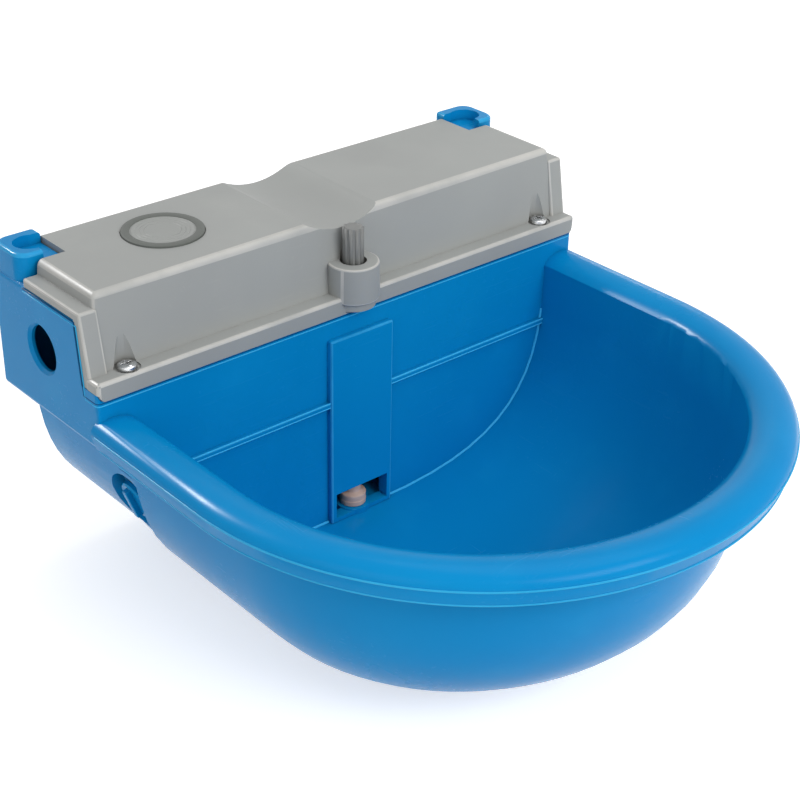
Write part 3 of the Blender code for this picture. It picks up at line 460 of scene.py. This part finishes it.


# Marks the narrow faces that round an outer edge, where a moulding rubs pale and gets a painted highlight
def markWearAndSheen(obj, widest):
    look = edgeLook
    shape = bmesh.new()
    shape.from_mesh(obj.data)
    values = []
    for face in shape.faces:
        around = face.calc_perimeter()
        inside = [e for e in face.edges if len(e.link_faces) == 2]
        turn = sum(e.calc_face_angle_signed(0) * e.calc_length() for e in inside)
        longSide = look["longSide"] * max(e.calc_length() for e in face.edges)
        sides = [e.calc_face_angle_signed(0) for e in face.edges if e.calc_length() > longSide]
        narrow = 2 * face.calc_area() / around < widest
        rounded = turn / around > look["wearAndSheenTurn"] and min(sides) > look["hollow"]
        values.append(1.0 if narrow and rounded else 0.0)
    shape.free()
    layer = obj.data.attributes.new("wearAndSheen", "FLOAT", "FACE")
    layer.data.foreach_set("value", values)


# A corner of a big face that slivers beside it have turned away takes the mean of the face's other corners
def evenCorners(mesh):
    look = edgeLook
    normals = [corner.vector.copy() for corner in mesh.corner_normals]
    for face in mesh.polygons:
        if face.area < look["evenedFace"]:
            continue
        corners = face.loop_indices
        turned = [i for i in corners if normals[i].angle(face.normal, 0) > look["evenedTurn"]]
        kept = [normals[i] for i in corners if i not in turned]
        mean = sum(kept, Vector()).normalized() if kept else face.normal.copy()
        for i in turned:
            normals[i] = mean
    mesh.normals_split_custom_set(normals)


# A copy of the node's solid with its flat faces made whole and its sharp edges eased
def finished(node, name, edge=0.0, squareOnly=False, widest=edgeLook["wearAndSheenWidth"]):
    look = edgeLook
    cleaned = bmesh.new()
    cleaned.from_mesh(frame["nodes"][node].data)
    bmesh.ops.remove_doubles(cleaned, verts=cleaned.verts, dist=look["weld"])
    bmesh.ops.dissolve_degenerate(cleaned, edges=cleaned.edges, dist=look["weld"])
    bmesh.ops.dissolve_limit(cleaned, angle_limit=look["flat"], verts=cleaned.verts, edges=cleaned.edges)
    mesh = bpy.data.meshes.new(name)
    cleaned.to_mesh(mesh)
    cleaned.free()
    obj = linked(bpy.data.objects.new(name + "_raw", mesh))
    if edge:
        ease = obj.modifiers.new("ease", "BEVEL")
        ease.width = edge
        ease.segments = look["segments"]
        ease.limit_method = "ANGLE"
        ease.angle_limit = look["sharp"]
        ease.use_clamp_overlap = True
    smoothed(obj, squareOnly)
    piece = baked(obj, name)
    markWearAndSheen(piece, widest)
    evenCorners(piece.data)
    return piece


# Geometry Nodes for what repeats or follows a path

treeDetail = {"turnSteps": 28, "ridgeSides": 4, "ribSides": 16}


def newTree(name, sizes):
    tree = bpy.data.node_groups.new(name, "GeometryNodeTree")
    tree.is_modifier = True
    tree.interface.new_socket("Geometry", in_out="OUTPUT", socket_type="NodeSocketGeometry")
    tree.interface.new_socket("Geometry", in_out="INPUT", socket_type="NodeSocketGeometry")
    for label, value in sizes.items():
        kind = "NodeSocketInt" if isinstance(value, int) else "NodeSocketFloat"
        tree.interface.new_socket(label, in_out="INPUT", socket_type=kind).default_value = value
    tree.interface.new_socket("Material", in_out="INPUT", socket_type="NodeSocketMaterial")
    return tree, tree.nodes.new("NodeGroupInput").outputs


def endTree(tree, given, shape):
    smooth = addNode(tree, "GeometryNodeSetShadeSmooth", Geometry=shape)
    whole = addNode(tree, "GeometryNodeRealizeInstances", Geometry=smooth.outputs[0])
    painted = addNode(
        tree,
        "GeometryNodeSetMaterial",
        Geometry=whole.outputs[0],
        Material=given["Material"],
    )
    tree.links.new(painted.outputs[0], tree.nodes.new("NodeGroupOutput").inputs[0])
    return tree


def makeThreadTree():
    sizes = {"Radius": 5 * mm, "Pitch": 1 * mm, "Turns": 10.0, "Depth": 0.3 * mm}
    tree, given = newTree("thread_turns", sizes)
    height = sums(tree, "MULTIPLY", given["Pitch"], given["Turns"])
    helix = addNode(
        tree,
        "GeometryNodeCurveSpiral",
        Resolution=treeDetail["turnSteps"],
        Rotations=given["Turns"],
        Start_Radius=given["Radius"],
        End_Radius=given["Radius"],
        Height=height,
    )
    ridge = addNode(
        tree,
        "GeometryNodeCurvePrimitiveCircle",
        Resolution=treeDetail["ridgeSides"],
        Radius=given["Depth"],
    )
    turns = addNode(
        tree,
        "GeometryNodeCurveToMesh",
        Curve=helix.outputs[0],
        Profile_Curve=ridge.outputs[0],
        Fill_Caps=True,
    )
    return endTree(tree, given, turns.outputs[0])


def makeSweepTree():
    tree, given = newTree("swept_bead", {"Bead radius": 0.5 * mm, "Sides": 8})
    section = addNode(
        tree,
        "GeometryNodeCurvePrimitiveCircle",
        Resolution=given["Sides"],
        Radius=given["Bead radius"],
    )
    bead = addNode(
        tree,
        "GeometryNodeCurveToMesh",
        Curve=given["Geometry"],
        Profile_Curve=section.outputs[0],
        Fill_Caps=True,
    )
    return endTree(tree, given, bead.outputs[0])


def makeRibTree():
    sizes = {"Count": 10, "Ring radius": 4.5 * mm, "Rib radius": 0.8 * mm, "Height": 15 * mm, "Foot": 0.0}
    tree, given = newTree("ring_of_ribs", sizes)
    ring = addNode(tree, "GeometryNodeMeshCircle", Vertices=given["Count"], Radius=given["Ring radius"])
    rib = addNode(
        tree,
        "GeometryNodeMeshCylinder",
        Vertices=treeDetail["ribSides"],
        Side_Segments=1,
        Radius=given["Rib radius"],
        Depth=given["Height"],
    )
    ribs = addNode(tree, "GeometryNodeInstanceOnPoints", Points=ring.outputs[0], Instance=rib.outputs[0])
    middle = sums(tree, "ADD", given["Foot"], sums(tree, "MULTIPLY", given["Height"], 0.5))
    lift = addNode(tree, "CombineXYZ", Z=middle)
    raised = addNode(
        tree,
        "GeometryNodeTransform",
        Geometry=ribs.outputs[0],
        Translation=lift.outputs[0],
    )
    both = addNode(tree, "GeometryNodeJoinGeometry")
    tree.links.new(given["Geometry"], both.inputs[0])
    tree.links.new(raised.outputs[0], both.inputs[0])
    return endTree(tree, given, both.outputs[0])


threadTree = makeThreadTree()
sweepTree = makeSweepTree()
ribTree = makeRibTree()


# The tree's result on an object, as a plain mesh. Sizes are given by the names of the tree's inputs
def grown(obj, tree, name, sizes, finish):
    sockets = {s.name: s.identifier for s in tree.interface.items_tree if s.in_out == "INPUT"}
    modifier = obj.modifiers.new("shape", "NODES")
    modifier.node_group = tree
    for label, value in {**sizes, "Material": finish}.items():
        modifier[sockets[label]] = value
    return baked(obj, name)


def meshObject(name, data=None):
    return linked(bpy.data.objects.new(name, data or bpy.data.meshes.new(name)))


# One mesh from several pieces of the same finish
def merged(obj, *others):
    whole = bmesh.new()
    whole.from_mesh(obj.data)
    for other in others:
        whole.from_mesh(other.data)
        bpy.data.objects.remove(other)
    whole.to_mesh(obj.data)
    whole.free()
    return obj


# A thread ridge on a shaft that runs from start along a direction
def threadOn(obj, look, start, direction, finish):
    helix = meshObject("helix_raw")
    turn = Vector((0, 0, 1)).rotation_difference(Vector(direction)).to_matrix().to_4x4()
    helix.matrix_world = Matrix.Translation(start) @ turn
    sizes = {
        "Radius": look["radius"],
        "Pitch": look["pitch"],
        "Turns": look["length"] / look["pitch"],
        "Depth": look["depth"],
    }
    return merged(obj, grown(helix, threadTree, "helix", sizes, finish))


# A profile of (radius, height) points turned about the vertical line through a centre
def lathed(name, profile, centre, steps=64, sharp=30, weld=0.005 * mm):
    shape = bmesh.new()
    across, along, foot = centre
    points = [shape.verts.new((across + radius, along, foot + height)) for radius, height in profile]
    edges = [shape.edges.new(pair) for pair in zip(points, points[1:])]
    bmesh.ops.spin(
        shape,
        geom=points + edges,
        cent=centre,
        axis=(0, 0, 1),
        angle=2 * math.pi,
        steps=steps,
    )
    bmesh.ops.remove_doubles(shape, verts=shape.verts, dist=weld)
    bmesh.ops.recalc_face_normals(shape, faces=shape.faces)
    mesh = bpy.data.meshes.new(name)
    shape.to_mesh(mesh)
    shape.free()
    mesh.shade_smooth()
    mesh.set_sharp_from_angle(angle=math.radians(sharp))
    return meshObject(name, mesh)


# How far in the middle point of an eased corner lies, as a share of the ease
easeBow = 0.3


# The three points of an eased outer corner on a profile
def easedCorner(radius, top, ease):
    bow = easeBow * ease
    return [(radius, top - ease), (radius - bow, top - bow), (radius - ease, top)]


def beadPath(name, points):
    curve = bpy.data.curves.new(name, "CURVE")
    curve.dimensions = "3D"
    line = curve.splines.new("POLY")
    line.points.add(len(points) - 1)
    for point, spot in zip(line.points, points):
        point.co = (*spot, 1.0)
    return meshObject(name, curve)


# A thin bead on the body, along a path of points
def addBead(name, points, look, finish):
    sizes = {"Bead radius": look["radius"], "Sides": look["sides"]}
    bead = grown(beadPath(name + "_path", points), sweepTree, name, sizes, finish)
    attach(bead, "housing")


# The middle of a node's foot, with its width and its height
def footOf(node):
    low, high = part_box(node)
    centre = Vector(((low[0] + high[0]) / 2, (low[1] + high[1]) / 2, low[2]))
    return centre, high[0] - low[0], high[2] - low[2]


# Pieces whose shape is the node's own, with the width of their eased edges

plainPieces = {
    "bowl_body": ("bowl_moulding", 0.45 * mm),
    "cover": ("cover_moulding", 0.45 * mm),
    "drain_rod": ("pull_rod", 0.0),
    "side_port_seal": ("port_seal", 0.0),
    "valve_lock_nut": ("lock_nut", 0.5 * mm),
    "valve_gasket": ("valve_washer", 0.0),
    "inlet_strainer": ("strainer", 0.0),
    "valve_nozzle": ("nozzle", 0.0),
    "valve_piston": ("piston", 0.0),
    "piston_seal": ("piston_pad", 0.0),
    "outlet_tube": ("outlet_pipe", 0.3 * mm),
    "lever_pivot_pin": ("pivot_pin", 0.25 * mm),
    "float_lever": ("lever_arm", 0.35 * mm),
    "float_clamp_nut": ("clamp_nut", 0.3 * mm),
    "level_nut_lower": ("lower_nut", 0.3 * mm),
    "level_nut_upper": ("upper_nut", 0.3 * mm),
    "float": ("float_block", 0.0),
}
# Edges up to this width go pale with wear and painted highlight, where it isn't the usual width
wearAndSheenWidth = {"cover": 1.5 * mm}
for node, (name, edge) in plainPieces.items():
    widest = wearAndSheenWidth.get(node, edgeLook["wearAndSheenWidth"])
    ridden(finished(node, name, edge, squareOnly=node == "bowl_body", widest=widest), node)

plugShape = {"edge": 0.3 * mm}
ridden(finished("side_port_plug", "port_plug", plugShape["edge"]), "side_port_plug", plugFinish)
print("moulded pieces ready")

# Rolled rim: two thin lines where the mould parts and where the skirt ends, in a paler blue that is a
# painted highlight

rimBead = {
    "radius": 0.55 * mm,
    "sides": 10,
    "sunk": 0.25,  # how deep the bead's middle lies in the wall, as a share of its radius
    "parting": 9.3 * mm,
    "foot": 1.3 * mm,
    "draft": 2.4 * mm,
    "steps": 96,
}
# Front face of the partition between chamber and basin, along Y
partition = -87.3 * mm


# The rim's outline at a height, from the left end round the front to the right end
def rimOutline(inset, height, steps):
    half = cadHigh.x - inset
    centre = cadLow.y + cadHigh.x
    path = [(-half, partition, height)]
    for i in range(steps + 1):
        turn = math.pi + math.pi * i / steps
        path.append((half * math.cos(turn), centre + half * math.sin(turn), height))
    path.append((half, partition, height))
    return path


def addRimBeads(look):
    sunk = look["sunk"] * look["radius"]
    parting = rimOutline(sunk, look["parting"], look["steps"])
    foot = rimOutline(look["draft"] + sunk, look["foot"], look["steps"])
    addBead("rim_parting_line", parting, look, highlightBeadFinish)
    addBead("rim_foot_line", foot, look, highlightBeadFinish)


addRimBeads(rimBead)


# Joint between basin and partition: a fillet that follows the crease, bright blue as a painted highlight

creaseLook = {
    "radius": 0.85 * mm,
    "sides": 10,
    "top": 8 * mm,
    "near": 0.05 * mm,
    "tilt": 0.02,
    "level": 0.99,
    "floorBand": 20 * mm,
}


# The crease, read from the body's own edges on the partition's front face, from left to right
def creasePoints(look):
    shape = bmesh.new()
    shape.from_mesh(frame["nodes"]["bowl_body"].data)
    bmesh.ops.remove_doubles(shape, verts=shape.verts, dist=edgeLook["weld"])
    found = {}
    for edge in shape.edges:
        if len(edge.link_faces) != 2:
            continue
        ends = [v.co for v in edge.verts]
        if any(abs(p.y - partition) >= look["near"] or p.z >= look["top"] for p in ends):
            continue
        wall = min(edge.link_faces, key=lambda face: abs(face.normal.y)).normal
        inwards = wall.x * ends[0].x < 0 and abs(wall.x) > look["tilt"]
        floor = wall.z > look["level"] and ends[0].z < cadLow.z + look["floorBand"]
        if wall.z > 0 and inwards or floor:
            for p in ends:
                found[tuple(round(c / mm, 1) for c in p)] = p.copy()
    shape.free()
    return sorted(found.values(), key=lambda p: math.atan2(p.x, cadLow.z / 2 - p.z))


# Ledge across the partition, left and right of the duct: both its front edges carry a bright bead, a
# painted highlight
ledgeLook = {
    "radius": 0.42 * mm,
    "sides": 8,
    "top": -20 * mm,
    "height": 3 * mm,
    "proud": 2.4 * mm,
    "duct": 19.2 * mm,
    "basin": 130.5 * mm,
    "sunk": 0.7,
}


def addLedgeLines(look):
    inset = look["sunk"] * look["radius"]
    front = partition - look["proud"] + inset
    levels = {"top": look["top"] - inset, "foot": look["top"] - look["height"] + inset}
    for side, sign in (("left", -1), ("right", 1)):
        for edge, level in levels.items():
            ends = [(sign * look["duct"], front, level), (sign * look["basin"], front, level)]
            addBead(f"ledge_{edge}_{side}", ends, look, filletHighlightFinish)


# Seam below the cover's flange: a dark line of painted shadow, and under it a bright line on the body's
# lip, a painted highlight
seamLook = {
    "radius": 0.38 * mm,
    "sides": 8,
    "half": 150 * mm,
    "corner": 2 * mm,
    "cheekTop": 61 * mm,
    "cheekBack": -28 * mm,
    "cheekFront": -71.5 * mm,
    "cheekFoot": -75 * mm,
    "partitionTop": 25.7 * mm,
    "shadowDrop": 0.9 * mm,
    "lipDrop": 2.3 * mm,
    "sunk": 0.4,
}


# The seam's outline at a distance below the flange, from the left cheek round the front to the right
def seamOutline(look, drop):
    low = look["partitionTop"] - drop
    sunk = look["sunk"] * look["radius"]
    outer = look["half"] - sunk
    front = partition + sunk
    corner = look["corner"]
    bow = easeBow * corner
    half = [
        (outer, look["cheekBack"], look["cheekTop"] - drop),
        (outer, look["cheekFront"] - drop, look["cheekTop"] - drop),
        (outer, look["cheekFoot"] - drop, low),
        (outer, front + corner, low),
        (outer - bow, front + bow, low),
        (outer - corner, front, low),
    ]
    return [(-x, y, z) for x, y, z in half] + half[::-1]


def addSeam(look):
    addBead("seam_shadow_line", seamOutline(look, look["shadowDrop"]), look, seamShadowFinish)
    addBead("seam_lip_line", seamOutline(look, look["lipDrop"]), look, filletHighlightFinish)


addBead("basin_crease_fillet", creasePoints(creaseLook), creaseLook, filletHighlightFinish)
addLedgeLines(ledgeLook)
addSeam(seamLook)


# Badge on the cover: a darker ring round a paler disc with fine turned grooves

badgeLook = {
    "ring": 4.3 * mm,
    "ease": 0.35 * mm,
    "dish": 0.35 * mm,
    "grooves": 4,
    "pitch": 2.1 * mm,
    "depth": 0.16 * mm,
    "grooveHalf": 0.4,  # half a groove's width, as a share of the ease
}


def addBadge(look):
    centre, width, top = footOf("cover_badge")
    radius = width / 2
    inner = radius - look["ring"]
    floor = top - look["dish"]
    ease = look["ease"]
    bow = easeBow * ease
    ring = [(0, 0), (radius, 0)] + easedCorner(radius, top, ease)
    ring += [(inner + ease, top), (inner + bow, top - bow), (inner, floor), (inner, floor - ease)]
    ring += [(0, floor - ease)]
    ridden(lathed("badge_ring", ring, centre), "cover_badge", finishes["badge_plastic"])
    disc = [(inner, floor - ease), (inner, floor)]
    half = look["grooveHalf"] * ease
    for i in range(look["grooves"]):
        edge = inner - ease - i * look["pitch"]
        disc += [(edge, floor), (edge - half, floor - look["depth"]), (edge - 2 * half, floor)]
    disc += [(0, floor), (0, floor - ease), (inner, floor - ease)]
    plate = lathed("badge_disc", disc, centre)
    plate.data.materials.append(discFinish)
    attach(plate, "housing")


addBadge(badgeLook)


# Drain pull: a ribbed knob, and a soft stopper with lips that reaches up behind the slot

# The dish in the knob's top is given in multiples of the ease
knobShape = {
    "core": 4.6 * mm,
    "ribs": 10,
    "ribRadius": 0.85 * mm,
    "ease": 0.7 * mm,
    "shoulder": 0.5 * mm,
    "dishEdge": 2,
    "dishFoot": 2.6,
    "dishDepth": 0.4,
    "steps": 60,
}


def addKnob(look):
    centre, width, top = footOf("drain_knob")
    core = look["core"]
    ease = look["ease"]
    dish = top - look["dishDepth"] * ease
    profile = [(0, 0), (core, 0)] + easedCorner(core, top, ease)
    profile += [(core - look["dishEdge"] * ease, top), (core - look["dishFoot"] * ease, dish), (0, dish)]
    knob = lathed("pull_knob_raw", profile, (0, 0, 0), steps=look["steps"])
    knob.location = centre
    sizes = {
        "Count": look["ribs"],
        "Ring radius": width / 2 - look["ribRadius"],
        "Rib radius": look["ribRadius"],
        "Height": top - look["shoulder"],
        "Foot": 0.0,
    }
    ridden(grown(knob, ribTree, "pull_knob", sizes, knobFinish), "drain_knob", knobFinish)


# The plug goes into the outlet, the lipped part lies on its seat, and the neck reaches up round the rod
stopperLook = {
    "plug": 4.9 * mm,
    "plugDraft": 0.4 * mm,
    "web": 1.3 * mm,
    "rodPlay": 0.1 * mm,
    "lips": 2,
    "lip": 0.2 * mm,
    "lipFoot": 1.2 * mm,
    "lipTop": 0.7 * mm,
    "lipHollow": 0.35 * mm,
    "shoulder": 1.4 * mm,
    "shoulderRise": 0.5 * mm,
    "neck": 4.3 * mm,
    "neckTop": 6.2 * mm,
    "ease": 0.6 * mm,
    "steps": 48,
}


def addStopper(look):
    centre, width, top = footOf("drain_stopper")
    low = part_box("drain_stopper")[0]
    rodLow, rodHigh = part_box("drain_rod")
    radius = width / 2
    bore = (rodHigh[0] - rodLow[0]) / 2 + look["rodPlay"]
    seat = rodLow[2] - low[2] - look["web"]
    plug = look["plug"]
    neck = look["neck"]
    neckTop = top + look["neckTop"]
    ease = look["ease"]
    profile = [(0, 0), (plug - ease, 0), (plug, ease), (plug + look["plugDraft"], seat)]
    profile += [(radius - easeBow * ease, seat)]
    for i in range(look["lips"]):
        rise = seat + (top - seat) * (i + 1) / look["lips"]
        profile += [(radius, rise - look["lipFoot"]), (radius, rise - look["lipTop"])]
        profile += [(radius - look["lip"], rise - look["lipHollow"])]
    profile += [(radius - look["shoulder"], top), (neck, top + look["shoulderRise"])]
    profile += [(neck, neckTop - ease), (neck - ease, neckTop), (bore, neckTop)]
    profile += [(bore, seat + look["web"]), (0, seat + look["web"])]
    ridden(lathed("stopper", profile, centre, steps=look["steps"]), "drain_stopper")


addKnob(knobShape)
addStopper(stopperLook)


# Threads: the valve's inlet end, the level stem and the two cover screws

valveThread = {
    "edge": 0.3 * mm,
    "radius": 10.25 * mm,
    "core": 9.85 * mm,
    "pitch": 1.81 * mm,
    "length": 24.5 * mm,
    "depth": 0.36 * mm,
    "lead": 0.8,  # in pitches from the barrel's end
}
stemThread = {
    "edge": 0.2 * mm,
    "radius": 2.9 * mm,
    "pitch": 1 * mm,
    "length": 50 * mm,
    "depth": 0.25 * mm,
    "plainEnd": 1.2 * mm,
    "endFace": 0.3 * mm,
}
screwThread = {
    "edge": 0.12 * mm,
    "radius": 1.95 * mm,
    "pitch": 1.3 * mm,
    "length": 17 * mm,
    "depth": 0.28 * mm,
    "point": 3.4 * mm,
}


# The barrel's inlet end is turned down to the thread's core before the ridge goes on
def addValveBarrel(look):
    low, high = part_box("valve_body")
    piece = finished("valve_body", "valve_barrel", look["edge"])
    axis = Vector((low[0], (low[1] + high[1]) / 2, 0))
    nutLow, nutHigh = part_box("valve_lock_nut")
    axis.z = (nutLow[2] + nutHigh[2]) / 2
    for v in piece.data.vertices:
        across = Vector((0, v.co.y - axis.y, v.co.z - axis.z))
        if v.co.x < nutLow[0] and across.length > look["core"]:
            v.co = Vector((v.co.x, axis.y, axis.z)) + across * (look["core"] / across.length)
    start = axis + Vector((look["lead"] * look["pitch"], 0, 0))
    threadOn(piece, look, start, (1, 0, 0), finishes["brass"])
    ridden(piece, "valve_body")


# At rest the float hangs down, so the stem leans by the hinge's whole swing
def addStem(look):
    low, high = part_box("float_stem")
    piece = finished("float_stem", "level_stem", look["edge"])
    points = [v.co for v in piece.data.vertices]
    hinge = next(j for j in record["behaviour"]["joints"] if j["name"] == "float_hinge")
    drop = math.radians(hinge["range_deg"][1])
    along = Vector((math.sin(drop), 0, math.cos(drop)))
    top = max(p.dot(along) for p in points)
    endFace = [p for p in points if p.dot(along) > top - look["endFace"]]
    centre = sum(endFace, Vector()) / len(endFace)
    centre.y = (low[1] + high[1]) / 2
    start = centre - along * (look["length"] + look["plainEnd"])
    threadOn(piece, look, start, along, finishes["steel"])
    ridden(piece, "float_stem")


def addScrews(look):
    for side in ("left", "right"):
        node = "cover_screw_" + side
        low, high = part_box(node)
        piece = finished(node, "screw_" + side, look["edge"])
        start = Vector(((low[0] + high[0]) / 2, (low[1] + high[1]) / 2, low[2] + look["point"]))
        threadOn(piece, look, start, (0, 0, 1), finishes["steel"])
        ridden(piece, node)


addValveBarrel(valveThread)
addStem(stemThread)
addScrews(screwThread)
print("turned and ribbed pieces ready")


# Camera, fitted to the photograph's straight edges

cameraLook = {
    "place": (-0.4741, -0.6585, 0.3965),
    "yaw": -41.33,
    "pitch": 29.64,
    "roll": 1.07,
    "focalPixels": 1678.38,
    "imagePixels": 800,
    "sensor": 36,
}


def addCamera(look):
    yaw, pitch, roll = (math.radians(look[key]) for key in ("yaw", "pitch", "roll"))
    ahead = math.cos(pitch)
    forward = Vector((-math.sin(yaw) * ahead, math.cos(yaw) * ahead, -math.sin(pitch)))
    level = Vector((math.cos(yaw), math.sin(yaw), 0))
    upward = level.cross(forward)
    right = level * math.cos(roll) + upward * math.sin(roll)
    above = upward * math.cos(roll) - level * math.sin(roll)
    data = bpy.data.cameras.new("photo_camera")
    data.sensor_width = look["sensor"]
    data.lens = data.sensor_width * look["focalPixels"] / look["imagePixels"]
    camera = linked(bpy.data.objects.new("photo_camera", data))
    turn = Matrix((right, above, -forward)).transposed().to_4x4()
    camera.matrix_world = Matrix.Translation(look["place"]) @ turn
    scene.camera = camera


addCamera(cameraLook)

# Floor and light

floorLook = {
    "size": 12.0,
    "squares": 8,
    "middle": -0.15,
    "below": 0.2 * mm,
    "colour": (0.84, 0.84, 0.84),
    "cloud": 3,
    "fade": 0.985,
    "roughness": 0.9,
    "specular": 0.1,
    "lift": 0.56,
}


# One for a ray from the camera, a reflection or a see-through surface, and nothing for the rest
def seenRays(tree):
    rays = addNode(tree, "LightPath").outputs
    mirrored = sums(tree, "MAXIMUM", rays["Is Glossy Ray"], rays["Is Transmission Ray"])
    return sums(tree, "MAXIMUM", rays["Is Camera Ray"], mirrored)


def addFloor(look):
    count = look["squares"]
    height = cadLow.z - look["below"]
    grid = bmesh.new()
    bmesh.ops.create_grid(grid, x_segments=count, y_segments=count, size=look["size"] / 2)
    bmesh.ops.translate(grid, vec=(0, look["middle"], height), verts=grid.verts)
    mesh = bpy.data.meshes.new("studio_floor")
    grid.to_mesh(mesh)
    grid.free()
    floor = linked(bpy.data.objects.new("studio_floor", mesh))
    material, tree, shader = newMaterial("floor_paper")
    tint = noise(tree, look["cloud"], detail=3)
    faded = [look["fade"] * c for c in look["colour"]]
    paper = mixed(tree, spread(tree, tint, 0.3, 0.7, 0, 1), look["colour"], faded)
    tree.links.new(paper, shader.inputs["Base Color"])
    shader.inputs["Roughness"].default_value = look["roughness"]
    shader.inputs["Specular IOR Level"].default_value = look["specular"]
    strength = sums(tree, "MULTIPLY", seenRays(tree), look["lift"])
    glow = addNode(tree, "Emission", Color=(1, 1, 1, 1), Strength=strength)
    both = addNode(tree, "AddShader")
    tree.links.new(shader.outputs[0], both.inputs[0])
    tree.links.new(glow.outputs[0], both.inputs[1])
    tree.links.new(both.outputs[0], tree.nodes["Material Output"].inputs["Surface"])
    mesh.materials.append(material)


worldLook = {"strength": 0.56, "colour": (1.0, 1.0, 1.0)}


def addWorld(look):
    world = bpy.data.worlds.new("studio")
    scene.world = world
    world.use_nodes = True
    tree = world.node_tree
    background = tree.nodes["Background"]
    background.inputs["Color"].default_value = (*look["colour"], 1)
    strength = spread(tree, seenRays(tree), 0, 1, look["strength"], 1.0, smooth=False)
    tree.links.new(strength, background.inputs["Strength"])


# A lamp for highlights only leaves the matt light as it is
lampLooks = {
    "overhead": {"spot": (0.35, -0.15, 1.3), "aim": (0, -0.15, 0), "size": (1.1, 0.8), "power": 4.2},
    "front": {"spot": (0.1, -1.38, 0.85), "aim": (0, -0.1, 0), "size": (0.9, 0.6), "power": 11},
    "left_fill": {"spot": (-1.1, -0.5, 0.5), "aim": (0, -0.15, 0), "size": (0.8, 0.8), "power": 1.9},
    "rim_strip_left": {
        "spot": (-0.52, 0.85, 0.84),
        "aim": (-0.15, -0.13, 0.015),
        "size": (0.3, 0.3),
        "power": 38,
        "highlightOnly": True,
    },
    "rim_strip_right": {
        "spot": (1.1, 0.58, 0.345),
        "aim": (0.13, -0.15, 0.015),
        "size": (0.16, 0.16),
        "power": 0.4,
        "highlightOnly": True,
    },
}


def addSoftbox(name, look):
    data = bpy.data.lights.new(name, "AREA")
    data.shape = "RECTANGLE"
    data.size, data.size_y = look["size"]
    data.energy = look["power"]
    lamp = linked(bpy.data.objects.new(name, data))
    lamp.location = look["spot"]
    aim = Vector(look["aim"]) - Vector(look["spot"])
    lamp.rotation_euler = aim.to_track_quat("-Z", "Y").to_euler()
    lamp.visible_diffuse = not look.get("highlightOnly", False)


addFloor(floorLook)
addWorld(worldLook)
for name, look in lampLooks.items():
    addSoftbox(name, look)
scene.view_settings.view_transform = "Standard"
print("stage ready")
